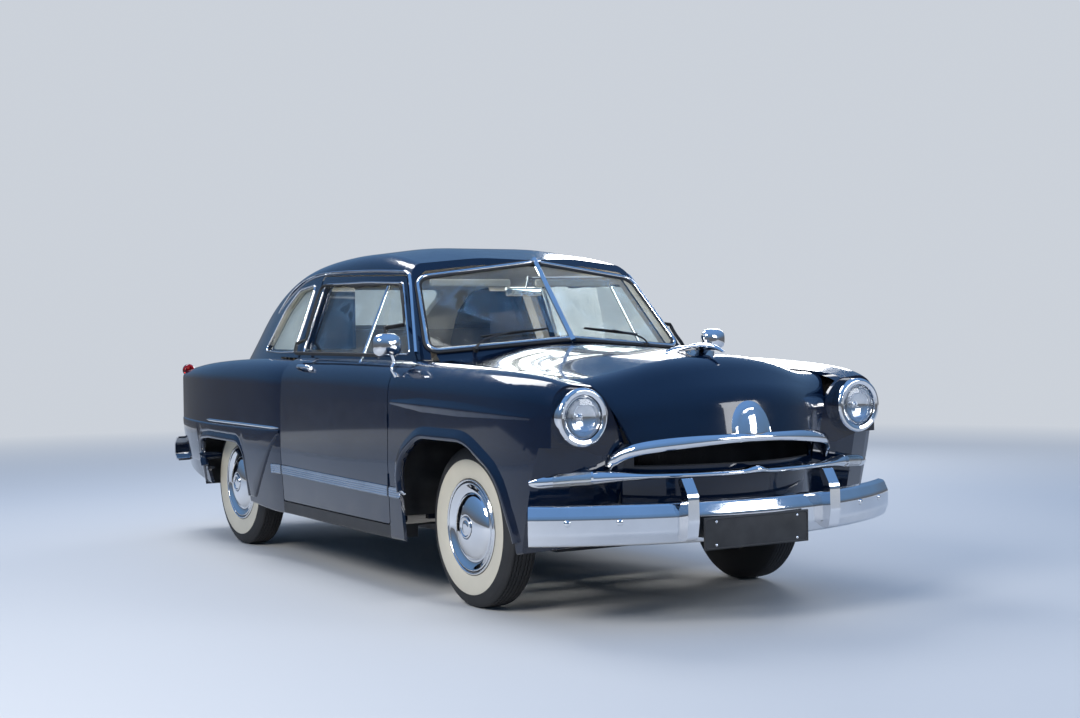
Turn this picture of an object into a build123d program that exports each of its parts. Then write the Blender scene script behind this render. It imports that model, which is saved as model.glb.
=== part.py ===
from build123d import *
import os
from math import cos, hypot, pi

os.makedirs("parts", exist_ok=True)

# A two-door compact fastback sedan of the early 1950s, in millimetres.
# +X is forward, +Y is the car's left, +Z is up. The origin is on the ground, midway
# between the axles and between the sides.

# Driving dimensions: the running gear
wheelbase = 2540
track = 1372
tyre_radius = 335
tyre_width = 148
rim_radius = 197
axle_radius = 38

# Driving dimensions: gaps, walls and glass
panel_gap = 6
fit = 0.3
skin = 16
roof_wall = 28
door_wall = 88
quarter_wall = 22
glass = 6
moulding = 9

# Driving dimensions: where the panels meet
door_front = 775
door_rear = -460
door_sill = 310
hinge_y = 886
belt = 1030
hood_rear = 960
fender_front = 2002
tail_end = -2085
bumper_reach = 2275
bumper_half = 889

# Driving dimensions: steering, seats and underbody
kingpin_y = 615
arm_length = 150
column_tilt = 28
floor_z = 300
floor_wall = 8
rear_floor_z = 478
seat_base = 434
tunnel_half = 110
tunnel_top = 425
rail_y = 385
rail_width = 56
spring_y = 500
jack_pad = 70
firewall_x = 742
apron_y = 400
apron_top = 772
wheelhouse_y = 588

front_axle = wheelbase / 2
rear_axle = -wheelbase / 2
wheel_y = track / 2
far = 3000
over = 60
sill_round = 12


def across(x):
    """The plane across the car at x: its own x is the car's left, its own y is up."""
    return Plane(origin=(x, 0, 0), x_dir=(0, 1, 0), z_dir=(1, 0, 0))


def along(y):
    """The plane along the car at y: its own x is forward, its own y is up."""
    return Plane(origin=(0, y, 0), x_dir=(1, 0, 0), z_dir=(0, -1, 0))


def outline(plane, points, radii):
    """A closed outline of straight runs, each corner rounded by its own radius."""
    with BuildSketch(plane) as sketch:
        with BuildLine():
            FilletPolyline(*points, radius=radii, close=True)
        make_face()
    return sketch.sketch


def prism(plane, points, radii, low, high):
    """The outline made solid, from low to high off its plane."""
    with BuildPart() as solid:
        extrude(outline(plane.offset(low), points, radii), amount=high - low)
    return solid.part


def side_prism(points, radii, y_from=0, y_to=1200):
    """An outline seen from the side, made solid from one distance off centre to another."""
    return prism(along(0), points, radii, -y_to, -y_from)


def plan_prism(points, radii, low=0, high=2000):
    """An outline seen from above, made solid from one height to another."""
    return prism(Plane.XY, points, radii, low, high)


def front_prism(points, radii, x_from=-far, x_to=far):
    """An outline seen from the front, made solid from one place along the car to another."""
    return prism(across(0), points, radii, x_from, x_to)


def lofted(faces):
    """A smooth solid through its cross-sections."""
    with BuildPart() as solid:
        loft(sections=faces)
    return solid.part


def block(x, y, z):
    """A box from its low and high corner along each axis."""
    with BuildPart() as solid:
        with Locations(((x[0] + x[1]) / 2, (y[0] + y[1]) / 2, (z[0] + z[1]) / 2)):
            Box(x[1] - x[0], y[1] - y[0], z[1] - z[0])
    return solid.part


def smooth_row(rows, place):
    """The table's columns at any place along it, on smooth curves through its rows."""
    places = [row[0] for row in rows]
    last = len(rows) - 1
    k = min(sum(1 for p in places[1:-1] if place >= p), last - 1)
    step = places[k + 1] - places[k]
    t = (place - places[k]) / step
    row = [place]
    for column in range(1, len(rows[0])):
        values = [r[column] for r in rows]
        slopes = []
        for i in (k, k + 1):
            low, high = max(i - 1, 0), min(i + 1, last)
            slopes.append(step * (values[high] - values[low]) / (places[high] - places[low]))
        start, end = values[k], values[k + 1]
        rise = end - start
        bend = slopes[0] + slopes[1] - 2 * rise
        row.append(start + slopes[0] * t + (rise - slopes[0] - bend) * t * t + bend * t * t * t)
    return tuple(row)


def stations(rows, count):
    """Rows for a loft, closer together towards both ends so that it stays smooth."""
    low, high = rows[0][0], rows[-1][0]
    middle, half = (low + high) / 2, (high - low) / 2
    return [smooth_row(rows, middle - half * cos(pi * i / (count - 1))) for i in range(count)]


def both_sides(solid):
    """The solid with its mirror image on the other side of the car."""
    return solid + solid.mirror(Plane.XZ)


def facing_back(solid):
    """The solid with its front turned to the back of the car."""
    return solid.mirror(Plane.YZ)


def tube(points, radius, corner):
    """A round bar along straight runs, each corner rounded by its own radius."""
    with BuildPart() as solid:
        with BuildLine() as path:
            FilletPolyline(*points, radius=corner)
        with BuildSketch(Plane(origin=path.line @ 0, z_dir=path.line % 0)):
            Circle(radius)
        sweep()
    return solid.part


def turned(points, radii, x, y, z):
    """A profile of radius and distance forward, turned about a line along the car."""
    with BuildPart() as solid:
        with BuildSketch(Plane.XY):
            with BuildLine():
                FilletPolyline(*[(ahead, radius) for radius, ahead in points], radius=radii, close=True)
            make_face()
        revolve(axis=Axis.X)
    return Location((x, y, z)) * solid.part


def turned_wheel(points, radii, x, y, z):
    """A profile of radius and distance outward, turned about a line across the car."""
    with BuildPart() as solid:
        with BuildSketch(Plane.XY):
            with BuildLine():
                FilletPolyline(*points, radius=radii, close=True)
            make_face()
        revolve(axis=Axis.Y)
    return Location((x, y, z)) * solid.part


# Body side: half cross-sections of the front fender and door zone.
# Columns: x, bottom z, sill y, widest y and z, crease z, shoulder y and z and radius, seam z
front_rows = [
    (-700, 245, 838, 858, 560, 800, 838, 1020, 128, 1025),
    (-460, 245, 842, 862, 560, 810, 842, 1022, 128, 1020),
    (150, 245, 862, 878, 560, 830, 860, 1032, 132, 1015),
    (775, 245, 874, 885, 580, 843, 868, 1036, 132, 1000),
    (1270, 250, 876, 888, 600, 835, 868, 1026, 126, 986),
    (1600, 260, 870, 884, 610, 828, 860, 1010, 118, 970),
    (1820, 290, 850, 868, 620, 823, 845, 988, 106, 955),
    (1940, 320, 815, 838, 630, 820, 822, 968, 94, 942),
    (2015, 350, 780, 806, 640, 818, 797, 944, 84, 928),
]


def front_section(row, inset=0):
    x, low, sill, wide, wide_z, crease, shoulder, top, radius, seam = row
    foot = low - over if inset > 0 else low
    points = [
        (-over if inset > 0 else 0, foot),
        (sill - inset, foot),
        (wide - inset, wide_z),
        (wide - 3 - inset, crease),
        (shoulder - inset, top - inset),
        (600 - inset, seam - inset),
        (-over if inset > 0 else 0, seam - inset),
    ]
    radii = [0, sill_round, 300, 200, max(radius - inset, 30), 70, 0]
    return outline(across(x), points, radii)


def front_side(inset=0, rows=front_rows):
    """The left front fender and door, solid, drawn in by an inset."""
    return lofted([front_section(row, inset) for row in stations(rows, 9)])


# Rear quarter: half cross-sections, with the fender that swells behind the door.
# Columns: x, bottom z, sill y, widest y and z, shoulder y and z and radius, valley y and z
rear_rows = [
    (-2085, 400, 740, 776, 630, 776, 996, 46, 530, 740),
    (-1880, 360, 795, 832, 620, 808, 1012, 66, 550, 810),
    (-1600, 330, 832, 868, 610, 842, 1036, 90, 570, 880),
    (-1270, 300, 850, 886, 600, 862, 1056, 110, 590, 925),
    (-900, 270, 856, 886, 580, 870, 1058, 122, 600, 960),
    (-620, 245, 852, 878, 560, 866, 1040, 128, 620, 985),
    (-455, 245, 842, 862, 560, 844, 1022, 128, 640, 1000),
]


def rear_section(row, inset=0):
    x, low, sill, wide, wide_z, shoulder, top, radius, valley, valley_z = row
    foot = low - over if inset > 0 else low
    slope = (top - valley_z) / (shoulder - valley)
    lean = hypot(1, slope)
    points = [
        (-over if inset > 0 else 0, foot),
        (sill - inset, foot),
        (wide - inset, wide_z),
        (shoulder - inset, top - inset * (slope + lean)),
        (valley + inset * (lean - 1) / slope, valley_z - inset),
        (-over if inset > 0 else 0, valley_z - inset),
    ]
    radii = [0, sill_round, 300, max(radius - inset, 12), 60, 0]
    return outline(across(x), points, radii)


def rear_side(inset=0):
    """The left rear quarter, solid, drawn in by an inset."""
    return lofted([rear_section(row, inset) for row in stations(rear_rows, 7)])


# Roof and fastback: half cross-sections.
# Columns: x, low z, y at the low edge, shoulder y and z and radius, crown y, top z
roof_rows = [
    (-2085, 480, 620, 430, 745, 80, 240, 784),
    (-1950, 520, 690, 440, 888, 95, 240, 930),
    (-1700, 620, 740, 462, 1072, 110, 250, 1116),
    (-1400, 700, 785, 505, 1236, 118, 250, 1276),
    (-1100, 760, 812, 552, 1368, 118, 250, 1404),
    (-750, 800, 830, 574, 1452, 115, 250, 1494),
    (-400, 800, 838, 586, 1496, 110, 250, 1538),
    (0, 800, 838, 590, 1504, 105, 250, 1545),
    (350, 800, 828, 592, 1482, 95, 250, 1524),
    (600, 800, 800, 590, 1428, 85, 250, 1468),
    (960, 800, 765, 585, 1398, 80, 250, 1435),
]


def roof_section(row, inset=0):
    x, low, side, shoulder, shoulder_z, radius, crown, top = row
    foot = low - over if inset > 0 else low
    points = [
        (-over if inset > 0 else 0, foot),
        (side - inset + (side - shoulder) * (low - foot) / (shoulder_z - low), foot),
        (shoulder - inset, shoulder_z - inset),
        (crown, top - inset),
        (-over if inset > 0 else 0, top - inset),
    ]
    radii = [0, 0, max(radius - inset, 12), 1200, 0]
    return outline(across(x), points, radii)


def roof_side(inset=0):
    """The left half of the roof and fastback, solid, drawn in by an inset."""
    return lofted([roof_section(row, inset) for row in stations(roof_rows, 10)])


# Hood and cowl: cross-sections along the car, seen from the side.
# Columns: y, z at the screen, middle x and z, front corner x and z, nose x and z, lip x and z
hood_rows = [
    (0, 1092, 1500, 1062, 1990, 1036, 2160, 893, 2196, 712),
    (160, 1086, 1500, 1056, 1984, 1030, 2144, 888, 2180, 712),
    (320, 1064, 1480, 1032, 1968, 1002, 2098, 876, 2128, 711),
    (480, 1034, 1450, 994, 1925, 962, 2022, 858, 2040, 709),
    (660, 1018, 1440, 972, 1860, 948, 1965, 850, 1985, 708),
]
hood_back = 700


def hood_section(row, inset=0):
    y, back_z, mid_x, mid_z, top_x, top_z, nose_x, nose_z, lip_x, lip_z = row
    foot = lip_z - over if inset > 0 else lip_z
    back = hood_back - over if inset > 0 else hood_back
    points = [
        (back, foot),
        (back, back_z - inset),
        (mid_x, mid_z - inset),
        (top_x - inset, top_z - inset),
        (nose_x - inset, nose_z - inset / 2),
        (lip_x - inset + (lip_x - nose_x) * (lip_z - foot) / (nose_z - lip_z), foot),
    ]
    return outline(along(y), points, [0, 0, 1500, 210, 150, 0])


def hood_form(inset=0):
    """The hood and cowl top from side to side, solid, drawn in by an inset."""
    rows = [(-row[0],) + row[1:] for row in reversed(hood_rows[1:])] + hood_rows
    return lofted([hood_section(row, inset) for row in stations(rows, 9)])


# The seam between the hood and the fenders, seen from above and from the front
seam_plan = [(hood_back - 10, 585), (1600, 602), (2040, 640), (2300, 640)]
seam_front = [(470, 700), (492, 760), (560, 890), (642, 950)]


def seam_outside():
    """Everything outboard of the left fender seam."""
    plan = seam_plan + [(2300, 1000), (hood_back - 10, 1000)]
    above = plan_prism(plan, [0, 600, 0, 0, 0, 0], 500, 1300)
    face = seam_front + [(642, 1300), (1000, 1300), (1000, 500), (470, 500)]
    return above, front_prism(face, [0, 60, 180, 60, 0, 0, 0, 0], 1500, 2400)


def seam_cutter(ease=0):
    """Everything between the two fender seams, widened by a gap on each side."""
    left = [(x, y + ease) for x, y in seam_plan]
    plan = left + [(x, -y) for x, y in reversed(left)]
    above = plan_prism(plan, [0, 600, 0, 0, 0, 0, 600, 0], 500, 1300)
    edge = [(y + ease, z) for y, z in seam_front] + [(642 + ease, 1300)]
    face = edge + [(-y, z) for y, z in reversed(edge)]
    ends = [0, 60, 180, 60, 0]
    ahead = front_prism(face, ends + ends[::-1], 1500, 2400)
    behind = block((hood_back - 10, 1500), (-700, 700), (500, 1300))
    return above & (ahead + behind)


# The two panes of the windscreen meet at the centre bar
pane_foot = Vector(883, 0, 1108)
pane_head = Vector(577, 0, 1457)
pane_corner = Vector(775, 674, 1059)
pane_across = (pane_corner - pane_foot).normalized()
pane_normal = pane_across.cross(pane_head - pane_foot).normalized()
pane_plane = Plane(origin=pane_foot, x_dir=pane_across, z_dir=pane_normal)
pane_width = (pane_corner - pane_foot).length
pane_height = (pane_head - pane_foot).length


def ahead_of_screen(offset=0):
    """Everything ahead of the left pane's plane, on the left half of the car."""
    with BuildPart() as solid:
        with BuildSketch(pane_plane.offset(offset)):
            with Locations((pane_width / 2, pane_height / 2)):
                Rectangle(2200, 2400)
        extrude(amount=1600)
        add(block((-far, far), (0, 1500), (0, 2500)), mode=Mode.INTERSECT)
    return solid.part


# Side openings, as seen from the side
door_frame_rake = 0.74
door_outline = [
    (door_rear + panel_gap, door_sill),
    (door_front, door_sill),
    (door_front, 985),
    (706, 1048),
    (706 - door_frame_rake * 352, 1400),
    (-452, 1422),
    (-460, 1000),
]
door_outline_radii = [14, 14, 60, 30, 50, 30, 0]
door_window = [(-404, 1046), (662, 1046), (662 - door_frame_rake * 318, 1364), (-400, 1378)]
door_window_radii = [12, 10, 24, 24]
quarter_window = [(-545, 1050), (-1010, 1050), (-905, 1250), (-760, 1352), (-545, 1376)]
quarter_window_radii = [12, 22, 160, 120, 24]
front_arch = [(930, 100), (868, 590), (1070, 706), (1470, 708), (1702, 590), (1800, 330), (1812, 100)]
front_arch_radii = [0, 150, 220, 300, 220, 200, 0]
rear_arch = [(-850, 100), (-905, 576), (-1400, 580), (-1600, 560), (-1470, 330), (-1490, 100)]
rear_arch_radii = [0, 110, 400, 60, 60, 0]


def door_gap(ease):
    """The door's outline widened by its gap."""
    rear, front = door_rear + panel_gap - ease, door_front + ease
    low = door_sill - ease
    return [
        (rear, low),
        (front, low),
        (front, 985 + ease),
        (706 + ease, 1048 + ease),
        (706 - door_frame_rake * 352 + ease, 1400 + ease),
        (-452 - 2 * ease, 1422 + ease),
        (-460 - ease, 1000),
    ]


def wall(outer, inner, x, y, z, front=None, rear=None):
    """The wall between two forms inside a box, closed at an end where a place is given."""
    ease = 40
    kept = outer & block(x, y, z)
    core_x = (x[0] - ease if rear is None else rear, x[1] + ease if front is None else front)
    return kept - (inner & block(core_x, (-far, far), (z[0] - ease, z[1] + ease)))


def nose_cutter(back=0):
    """What the fender fronts lose below the headlamps, where they draw back to the bumper."""
    foot = [(1900, 300), (1890, 600), (1860, 720), (1790, 860), (1700, 980), (2400, 980), (2400, 300)]
    head = [(2010, 300), (2010, 600), (2004, 700), (1966, 800), (1880, 980), (2400, 980), (2400, 300)]
    low, high = 150, 705
    with BuildPart() as solid:
        for z, points in ((low, foot), (high, head)):
            with BuildSketch(Plane.XY.offset(z)):
                with BuildLine():
                    Polyline(*[(x - back, y) for x, y in points], close=True)
                make_face()
        loft(ruled=True)
    return solid.part


def arc_band(plane, x_mid, x_end, half, depth, thick):
    """A bowed bar: a band between two arcs in its plane, half the thickness each way."""
    with BuildPart() as solid:
        with BuildSketch(plane.offset(-thick / 2)):
            with BuildLine():
                front = ThreePointArc((x_end, -half), (x_mid, 0), (x_end, half))
                rear = ThreePointArc((x_end - depth, -half), (x_mid - depth, 0), (x_end - depth, half))
                Line(front @ 0, rear @ 0)
                Line(front @ 1, rear @ 1)
            make_face()
        extrude(amount=thick)
    return solid.part


side_outer = front_side()
side_inner = front_side(skin)
quarter_outer = rear_side()
quarter_inner = rear_side(quarter_wall)
roof_outer = roof_side()
roof_inner = roof_side(roof_wall)
hood_outer = hood_form()
hood_inner = hood_form(skin)
door_hole = side_prism(door_gap(panel_gap), door_outline_radii, 400)
trunk_outline = [(-430, 560), (430, 560), (400, 1110), (-400, 1110)]
trunk_radii = [50, 50, 90, 90]
trunk_hole = front_prism(trunk_outline, trunk_radii, -2200, -1500)
rear_window_outline = [(-470, 1176), (470, 1176), (420, 1372), (-420, 1372)]
rear_window_radii = [60, 60, 80, 80]
rear_window_hole = front_prism(rear_window_outline, rear_window_radii, -1700, -900)
quarter_hole = side_prism(quarter_window, quarter_window_radii, 400)
pieces = []


def keep(part, label):
    """Names a finished piece and writes it."""
    part.label = label
    print(label, round(part.volume / 1e6, 2), len(part.solids()))
    export_step(part, "parts/" + label + ".step")
    pieces.append(label)


def keep_pair(part, name):
    """Writes a left-hand piece and its mirror image for the right-hand side."""
    keep(part, name + "_left")
    keep(part.mirror(Plane.XZ), name + "_right")


# Front fenders: the outer wall from the door to the headlamp, with its arch and the pins
# that the door turns on
fender_form = side_outer - nose_cutter()
with BuildPart() as front_fender:
    inner = side_inner - nose_cutter(skin)
    add(wall(fender_form, inner, (700, fender_front), (300, 1000), (180, 1100), fender_front - skin))
    add(side_prism(front_arch, front_arch_radii, 700), mode=Mode.SUBTRACT)
    add(seam_cutter(panel_gap), mode=Mode.SUBTRACT)
    add(block((1500, 2100), (250, 476), (0, 720)), mode=Mode.SUBTRACT)
    add(door_hole, mode=Mode.SUBTRACT)
    rocker_end, rocker_top = door_front + panel_gap, door_sill - panel_gap
    add(block((hood_back - over, rocker_end), (700, 1000), (180, rocker_top)), mode=Mode.SUBTRACT)
    for z in (500, 760):
        with Locations((door_front + panel_gap / 2, hinge_y, z)):
            Cylinder(panel_gap / 2 - fit, 60)
        with Locations((door_front + panel_gap / 2 + 5, hinge_y - 5, z)):
            Box(10, 5, 60)
keep_pair(front_fender.part, "front_fender")

# Doors: as thick as the whole door below the belt, with a window frame above it
with BuildPart() as door:
    door_box = ((door_rear, door_front), (700, 1000), (280, belt + 8))
    add(wall(side_outer, front_side(door_wall, front_rows[:5]), *door_box))
    add(wall(roof_outer, roof_side(roof_wall + 4), door_box[0], (400, 1000), (belt - 40, 1460)))
    add(side_prism(door_outline, door_outline_radii, 400), mode=Mode.INTERSECT)
    add(side_prism(door_window, door_window_radii, 400), mode=Mode.SUBTRACT)
    rebate = [(-480, 640), (-480, 832), (-454, 832), (-426, 640)]
    add(plan_prism(rebate, [0, 0, 0, 0], 200, belt), mode=Mode.SUBTRACT)
keep_pair(door.part, "door")

with BuildPart() as door_glass:
    glass_box = ((-420, 680), (400, 1000), (1000, 1400))
    add(wall(roof_side(11), roof_side(11 + glass), *glass_box))
    add(side_prism(door_window, door_window_radii, 400), mode=Mode.INTERSECT)
keep_pair(door_glass.part, "door_glass")

# Quarters: the outer wall behind the door, with its arch, lip and raised lower panel
with BuildPart() as quarter:
    add(wall(quarter_outer, quarter_inner, (tail_end, door_rear), (440, 1000), (180, 1100)))
    add(side_prism(rear_arch, rear_arch_radii, 700), mode=Mode.SUBTRACT)
    add(roof_outer, mode=Mode.SUBTRACT)
keep_pair(quarter.part, "quarter")

# Roof: the shell above the belt with its pillars, cut for glass, doors and trunk lid
with BuildPart() as roof_half:
    add(roof_outer - roof_inner)
    add(ahead_of_screen(), mode=Mode.SUBTRACT)
    add(side_outer, mode=Mode.SUBTRACT)
    add(block((-2200, -460), (0, 1000), (400, 880)) & quarter_inner, mode=Mode.SUBTRACT)
    for hole in (door_hole, quarter_hole, rear_window_hole, trunk_hole):
        add(hole, mode=Mode.SUBTRACT)
    add(block((700, 1200), (0, 1000), (700, 1020)), mode=Mode.SUBTRACT)
keep(both_sides(roof_half.part), "roof")

# Trunk lid
lid_edge = [(-430 + panel_gap, 560 + panel_gap), (430 - panel_gap, 560 + panel_gap)]
lid_edge += [(400 - panel_gap, 1110 - panel_gap), (-400 + panel_gap, 1110 - panel_gap)]
with BuildPart() as trunk_lid:
    lid_box = ((tail_end, -1500), (0, 1000), (500, 1200))
    add(wall(roof_outer, roof_inner, *lid_box, None, tail_end + 24))
    add(front_prism(lid_edge, trunk_radii, -2200, -1500), mode=Mode.INTERSECT)
keep(both_sides(trunk_lid.part), "trunk_lid")

# Tail panel: closes the back between the quarters, around the trunk lid, and lets the
# bumper brackets through
bracket_width, bracket_height, slot_gap = 36, 24, 4
front_bracket_z, rear_bracket_z = 398, 455
with BuildPart() as tail_panel:
    add((quarter_inner + roof_inner) & block((tail_end, tail_end + 22), (0, 1000), (400, 1000)))
    add(trunk_hole, mode=Mode.SUBTRACT)
    slot_y = (rail_y - bracket_width / 2 - slot_gap, rail_y + bracket_width / 2 + slot_gap)
    slot_z = (rear_bracket_z - bracket_height / 2 - slot_gap, rear_bracket_z + bracket_height / 2 + slot_gap)
    add(block((tail_end - 10, tail_end + 40), slot_y, slot_z), mode=Mode.SUBTRACT)
    striker_top = trunk_outline[0][1] + panel_gap - fit
    add(block((tail_end, tail_end + 22), (0, 20), (trunk_outline[0][1] - 5, striker_top)))
keep(both_sides(tail_panel.part), "tail_panel")

# Hood
with BuildPart() as hood:
    add((hood_outer & block((hood_rear, 2400), (-700, 700), (600, 1200))) - hood_inner)
    for cutter in seam_outside():
        add(both_sides(cutter), mode=Mode.SUBTRACT)
keep(hood.part, "hood")

# Windscreen: two flat panes in a bright frame with a centre bar
pane_tip = pane_plane.to_local_coords(Vector(526, 587, 1396))
pane_points = [(10, 0), (pane_width, 0), (pane_tip.X, pane_tip.Y), (10, pane_height)]
pane_radii = [0, 40, 60, 0]
frame_width = 22


def pane(grow, low, high):
    """The left pane's outline grown by a width, between two heights off its plane."""
    with BuildPart() as solid:
        with BuildSketch(pane_plane.offset(low)):
            with BuildLine():
                FilletPolyline(*pane_points, radius=pane_radii, close=True)
            make_face()
            if grow:
                offset(amount=grow, kind=Kind.INTERSECTION)
        extrude(amount=high - low)
        add(block((-far, far), (0, 1500), (0, 2500)), mode=Mode.INTERSECT)
    return solid.part


keep(both_sides(pane(0, 0, glass)), "windscreen")
keep(both_sides(pane(frame_width, 0, moulding) - pane(0, -1, moulding + 1)), "windscreen_frame")

with BuildPart() as fixed_glass:
    light = (-1700, -500), (0, 1000), (1000, 1420)
    add(wall(roof_side(11), roof_side(11 + glass), *light))
    quarter_pane = side_prism(quarter_window, quarter_window_radii, 400)
    add(quarter_pane + rear_window_hole, mode=Mode.INTERSECT)
keep(both_sides(fixed_glass.part), "fixed_glass")

# Cowl: the panel ahead of the windscreen, the firewall and the door pillars
screen_zone = both_sides(pane(frame_width + 1, -500, moulding + 1))
with BuildPart() as cowl:
    top_box = block((hood_back, hood_rear - panel_gap), (-585, 585), (900, 1200))
    add((hood_outer & top_box) - hood_inner - screen_zone)
    add(hood_inner & block((firewall_x, firewall_x + floor_wall), (-585, 585), (floor_z, 1200)))
    add(block((700, 800), (-tunnel_half, tunnel_half), (200, tunnel_top - floor_wall)), mode=Mode.SUBTRACT)
    for side in (-1, 1):
        with Locations((735, side * 626, 665)):
            Box(30, 92, 700)
keep(cowl.part, "cowl")

# Floor: pan with tunnel, a kick-up that lies on the rails, rear floor, rockers and seat risers
house_front = -890
rail_kick = [(-770, 288), (-960, 468)]
kick_slope = (rail_kick[1][1] - rail_kick[0][1]) / (rail_kick[0][0] - rail_kick[1][0])


def over_rail(z):
    """Where along the car the rails' top reaches a height."""
    return rail_kick[0][0] - (z - rail_kick[0][1]) / kick_slope


def kick_z(x):
    """How high the rails' rising top is at a place along the car."""
    return rail_kick[0][1] + (rail_kick[0][0] - x) * kick_slope


with BuildPart() as floor:
    low, high = rear_floor_z - floor_wall, rear_floor_z
    kick_front, kick_rear = over_rail(floor_z - floor_wall), over_rail(low)
    lean = floor_wall * hypot(1, kick_slope) / kick_slope
    add(block((kick_front, 750), (-750, 750), (floor_z - floor_wall, floor_z)))
    kick_up = [(kick_front, floor_z - floor_wall), (over_rail(floor_z) + lean, floor_z)]
    kick_up += [(over_rail(high) + lean, high), (kick_rear, high), (kick_rear, low)]
    add(side_prism(kick_up, 5 * [0], -wheelhouse_y, wheelhouse_y))
    tunnel_side = tunnel_half + floor_wall
    tunnel_rear = over_rail(tunnel_top)
    add(block((tunnel_rear, firewall_x), (-tunnel_side, tunnel_side), (floor_z - floor_wall, tunnel_top)))
    add(block((tail_end + 22, kick_rear), (-wheelhouse_y, wheelhouse_y), (low, high)))
    add(both_sides(quarter_inner & block((tail_end + 22, -1650), (wheelhouse_y - 20, 900), (low, high))))
    cheek = (wheelhouse_y - floor_wall, wheelhouse_y)
    filler = block((house_front, kick_front), (cheek[0], 750), (floor_z - floor_wall, floor_z))
    add(both_sides(filler + block((kick_rear, kick_front), cheek, (floor_z - floor_wall, high))))
    for x in ((-220, 360), (-860, -440)):
        add(block(x, (-560, 560), (seat_base - floor_wall, seat_base)))
        for foot in (x[0], x[1] - floor_wall):
            bottom = max(floor_z - floor_wall / 2, kick_z(foot) + floor_wall / 2)
            add(block((foot, foot + floor_wall), (-560, 560), (bottom, seat_base)))
    add(block((-1100, 800), (-tunnel_half, tunnel_half), (200, tunnel_top - floor_wall)), mode=Mode.SUBTRACT)
    rocker = side_outer & block((door_rear, rocker_end), (742, 1000), (245, rocker_top))
    add(both_sides(rocker))
keep(floor.part, "floor")

# Wheelhouses over the rear tyres, and aprons between the engine bay and the front wheels
house_outline = [(-1650, 300), (-1650, 570), (-1510, 716), (-1030, 716)]
house_outline += [(house_front, 570), (house_front, 300)]
with BuildPart() as wheelhouse:
    house = side_prism(house_outline, [0, 150, 200, 200, 150, 0], wheelhouse_y, 900)
    add(house & quarter_inner)
    inside = [(x + (floor_wall if x < rear_axle else -floor_wall), z) for x, z in house_outline]
    inside = [(x, z - floor_wall if z > 700 else (200 if z < 400 else z)) for x, z in inside]
    inside_radii = [0, 142, 192, 192, 142, 0]
    add(side_prism(inside, inside_radii, wheelhouse_y + floor_wall, 900), mode=Mode.SUBTRACT)
    notch = (rear_axle - axle_radius - 30, rear_axle + axle_radius + 30)
    add(block(notch, (wheelhouse_y - 5, wheelhouse_y + 15), (200, 430)), mode=Mode.SUBTRACT)
keep(both_sides(wheelhouse.part), "wheelhouses")

with BuildPart() as apron:
    shell = side_inner & block((firewall_x + floor_wall, 1960), (apron_y, 900), (450, apron_top))
    add(shell - nose_cutter(skin))
    under = block((700, 2000), (apron_y + floor_wall, 1000), (400, apron_top - floor_wall))
    add(under, mode=Mode.SUBTRACT)
    add(block((700, door_front + panel_gap), (700, 1000), (400, 1000)), mode=Mode.SUBTRACT)
keep(both_sides(apron.part), "inner_aprons")

# Frame: two side rails that rise over the rear axle, with crossmembers and jack pads
rail_front, rail_rear = 1990, -2050
rail_low_line = [(rail_rear, 420), (-1000, 420), (-800, 205), (900, 205), (1150, 250), (1500, 250)]
rail_low_line += [(rail_front, 335)]
rail_top_line = [(rail_front, 415), (1500, 335), (1150, 335), (900, 288)] + rail_kick
rail_top_line += [(rail_rear, 468)]
rails = both_sides(side_prism(
    rail_low_line + rail_top_line, 14 * [0], rail_y - rail_width / 2, rail_y + rail_width / 2))
with BuildPart() as frame:
    add(rails)
    half = rail_y - rail_width / 2
    crossmembers = [(-1950, 425, 465), (-700, 210, 250), (150, 210, 250), (890, 210, 255), (1940, 335, 385)]
    for x, low, high in crossmembers:
        add(block((x - 35, x + 35), (-half, half), (low, high)))
    for x in (-600, 650):
        for side in (-1, 1):
            with Locations((x, side * rail_y, 200)):
                Box(jack_pad, jack_pad, 10)
keep(frame.part, "frame")

# Front panel between the fenders, behind the grille bars
with BuildPart() as front_panel:
    add(arc_band(Plane.XY.offset(560), 2150, 1985, 476, 12, 290))
    with Locations((2100, 0, 660)):
        Box(400, 880, 84, mode=Mode.SUBTRACT)
keep(front_panel.part, "front_panel")

# Grille: dark upright fins behind the opening
with BuildPart() as grille:
    for step in range(-14, 15):
        y = step * 30
        x = 2105 - 165 * (y / 476) ** 2
        with Locations((x, y, 660)):
            Box(30, 5, 84)
    for z in (618, 702):
        add(arc_band(Plane.XY.offset(z), 2138, 1973, 476, 43, 8))
keep(grille.part, "grille")

# Parking lamps let into the long grille bar near its ends
bar_plane = Plane(origin=(1904, 0, 571), x_dir=(301, 0, 26), z_dir=(-26, 0, 301))
with BuildPart() as parking_lamp:
    add(block((1900, 2100), (625, 775), (540, 620)))
    add(arc_band(bar_plane, 304, 14, 835, 14, 22), mode=Mode.INTERSECT)
parking_zone = both_sides(parking_lamp.part)
keep(parking_zone, "parking_lamps")

# Grille bars: the brow over the opening and the long bar below it
with BuildPart() as grille_bars:
    for step, thick in ((0, 20), (5, 34)):
        add(arc_band(Plane.XY.offset(686), 2206 - step, 2036 - step, 490, 56 - step, thick))
        add(arc_band(bar_plane, 302 - step, 12 - step, 835, 32 - step, thick))
    add(parking_zone, mode=Mode.SUBTRACT)
    add(both_sides(fender_form), mode=Mode.SUBTRACT)
keep(grille_bars.part, "grille_bars")

# Headlamps: a bright ring with a sealed lamp in it
lamp_y, lamp_z = 690, 818
ring_radius, lens_radius, ring_depth = 113, 86, 46

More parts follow.
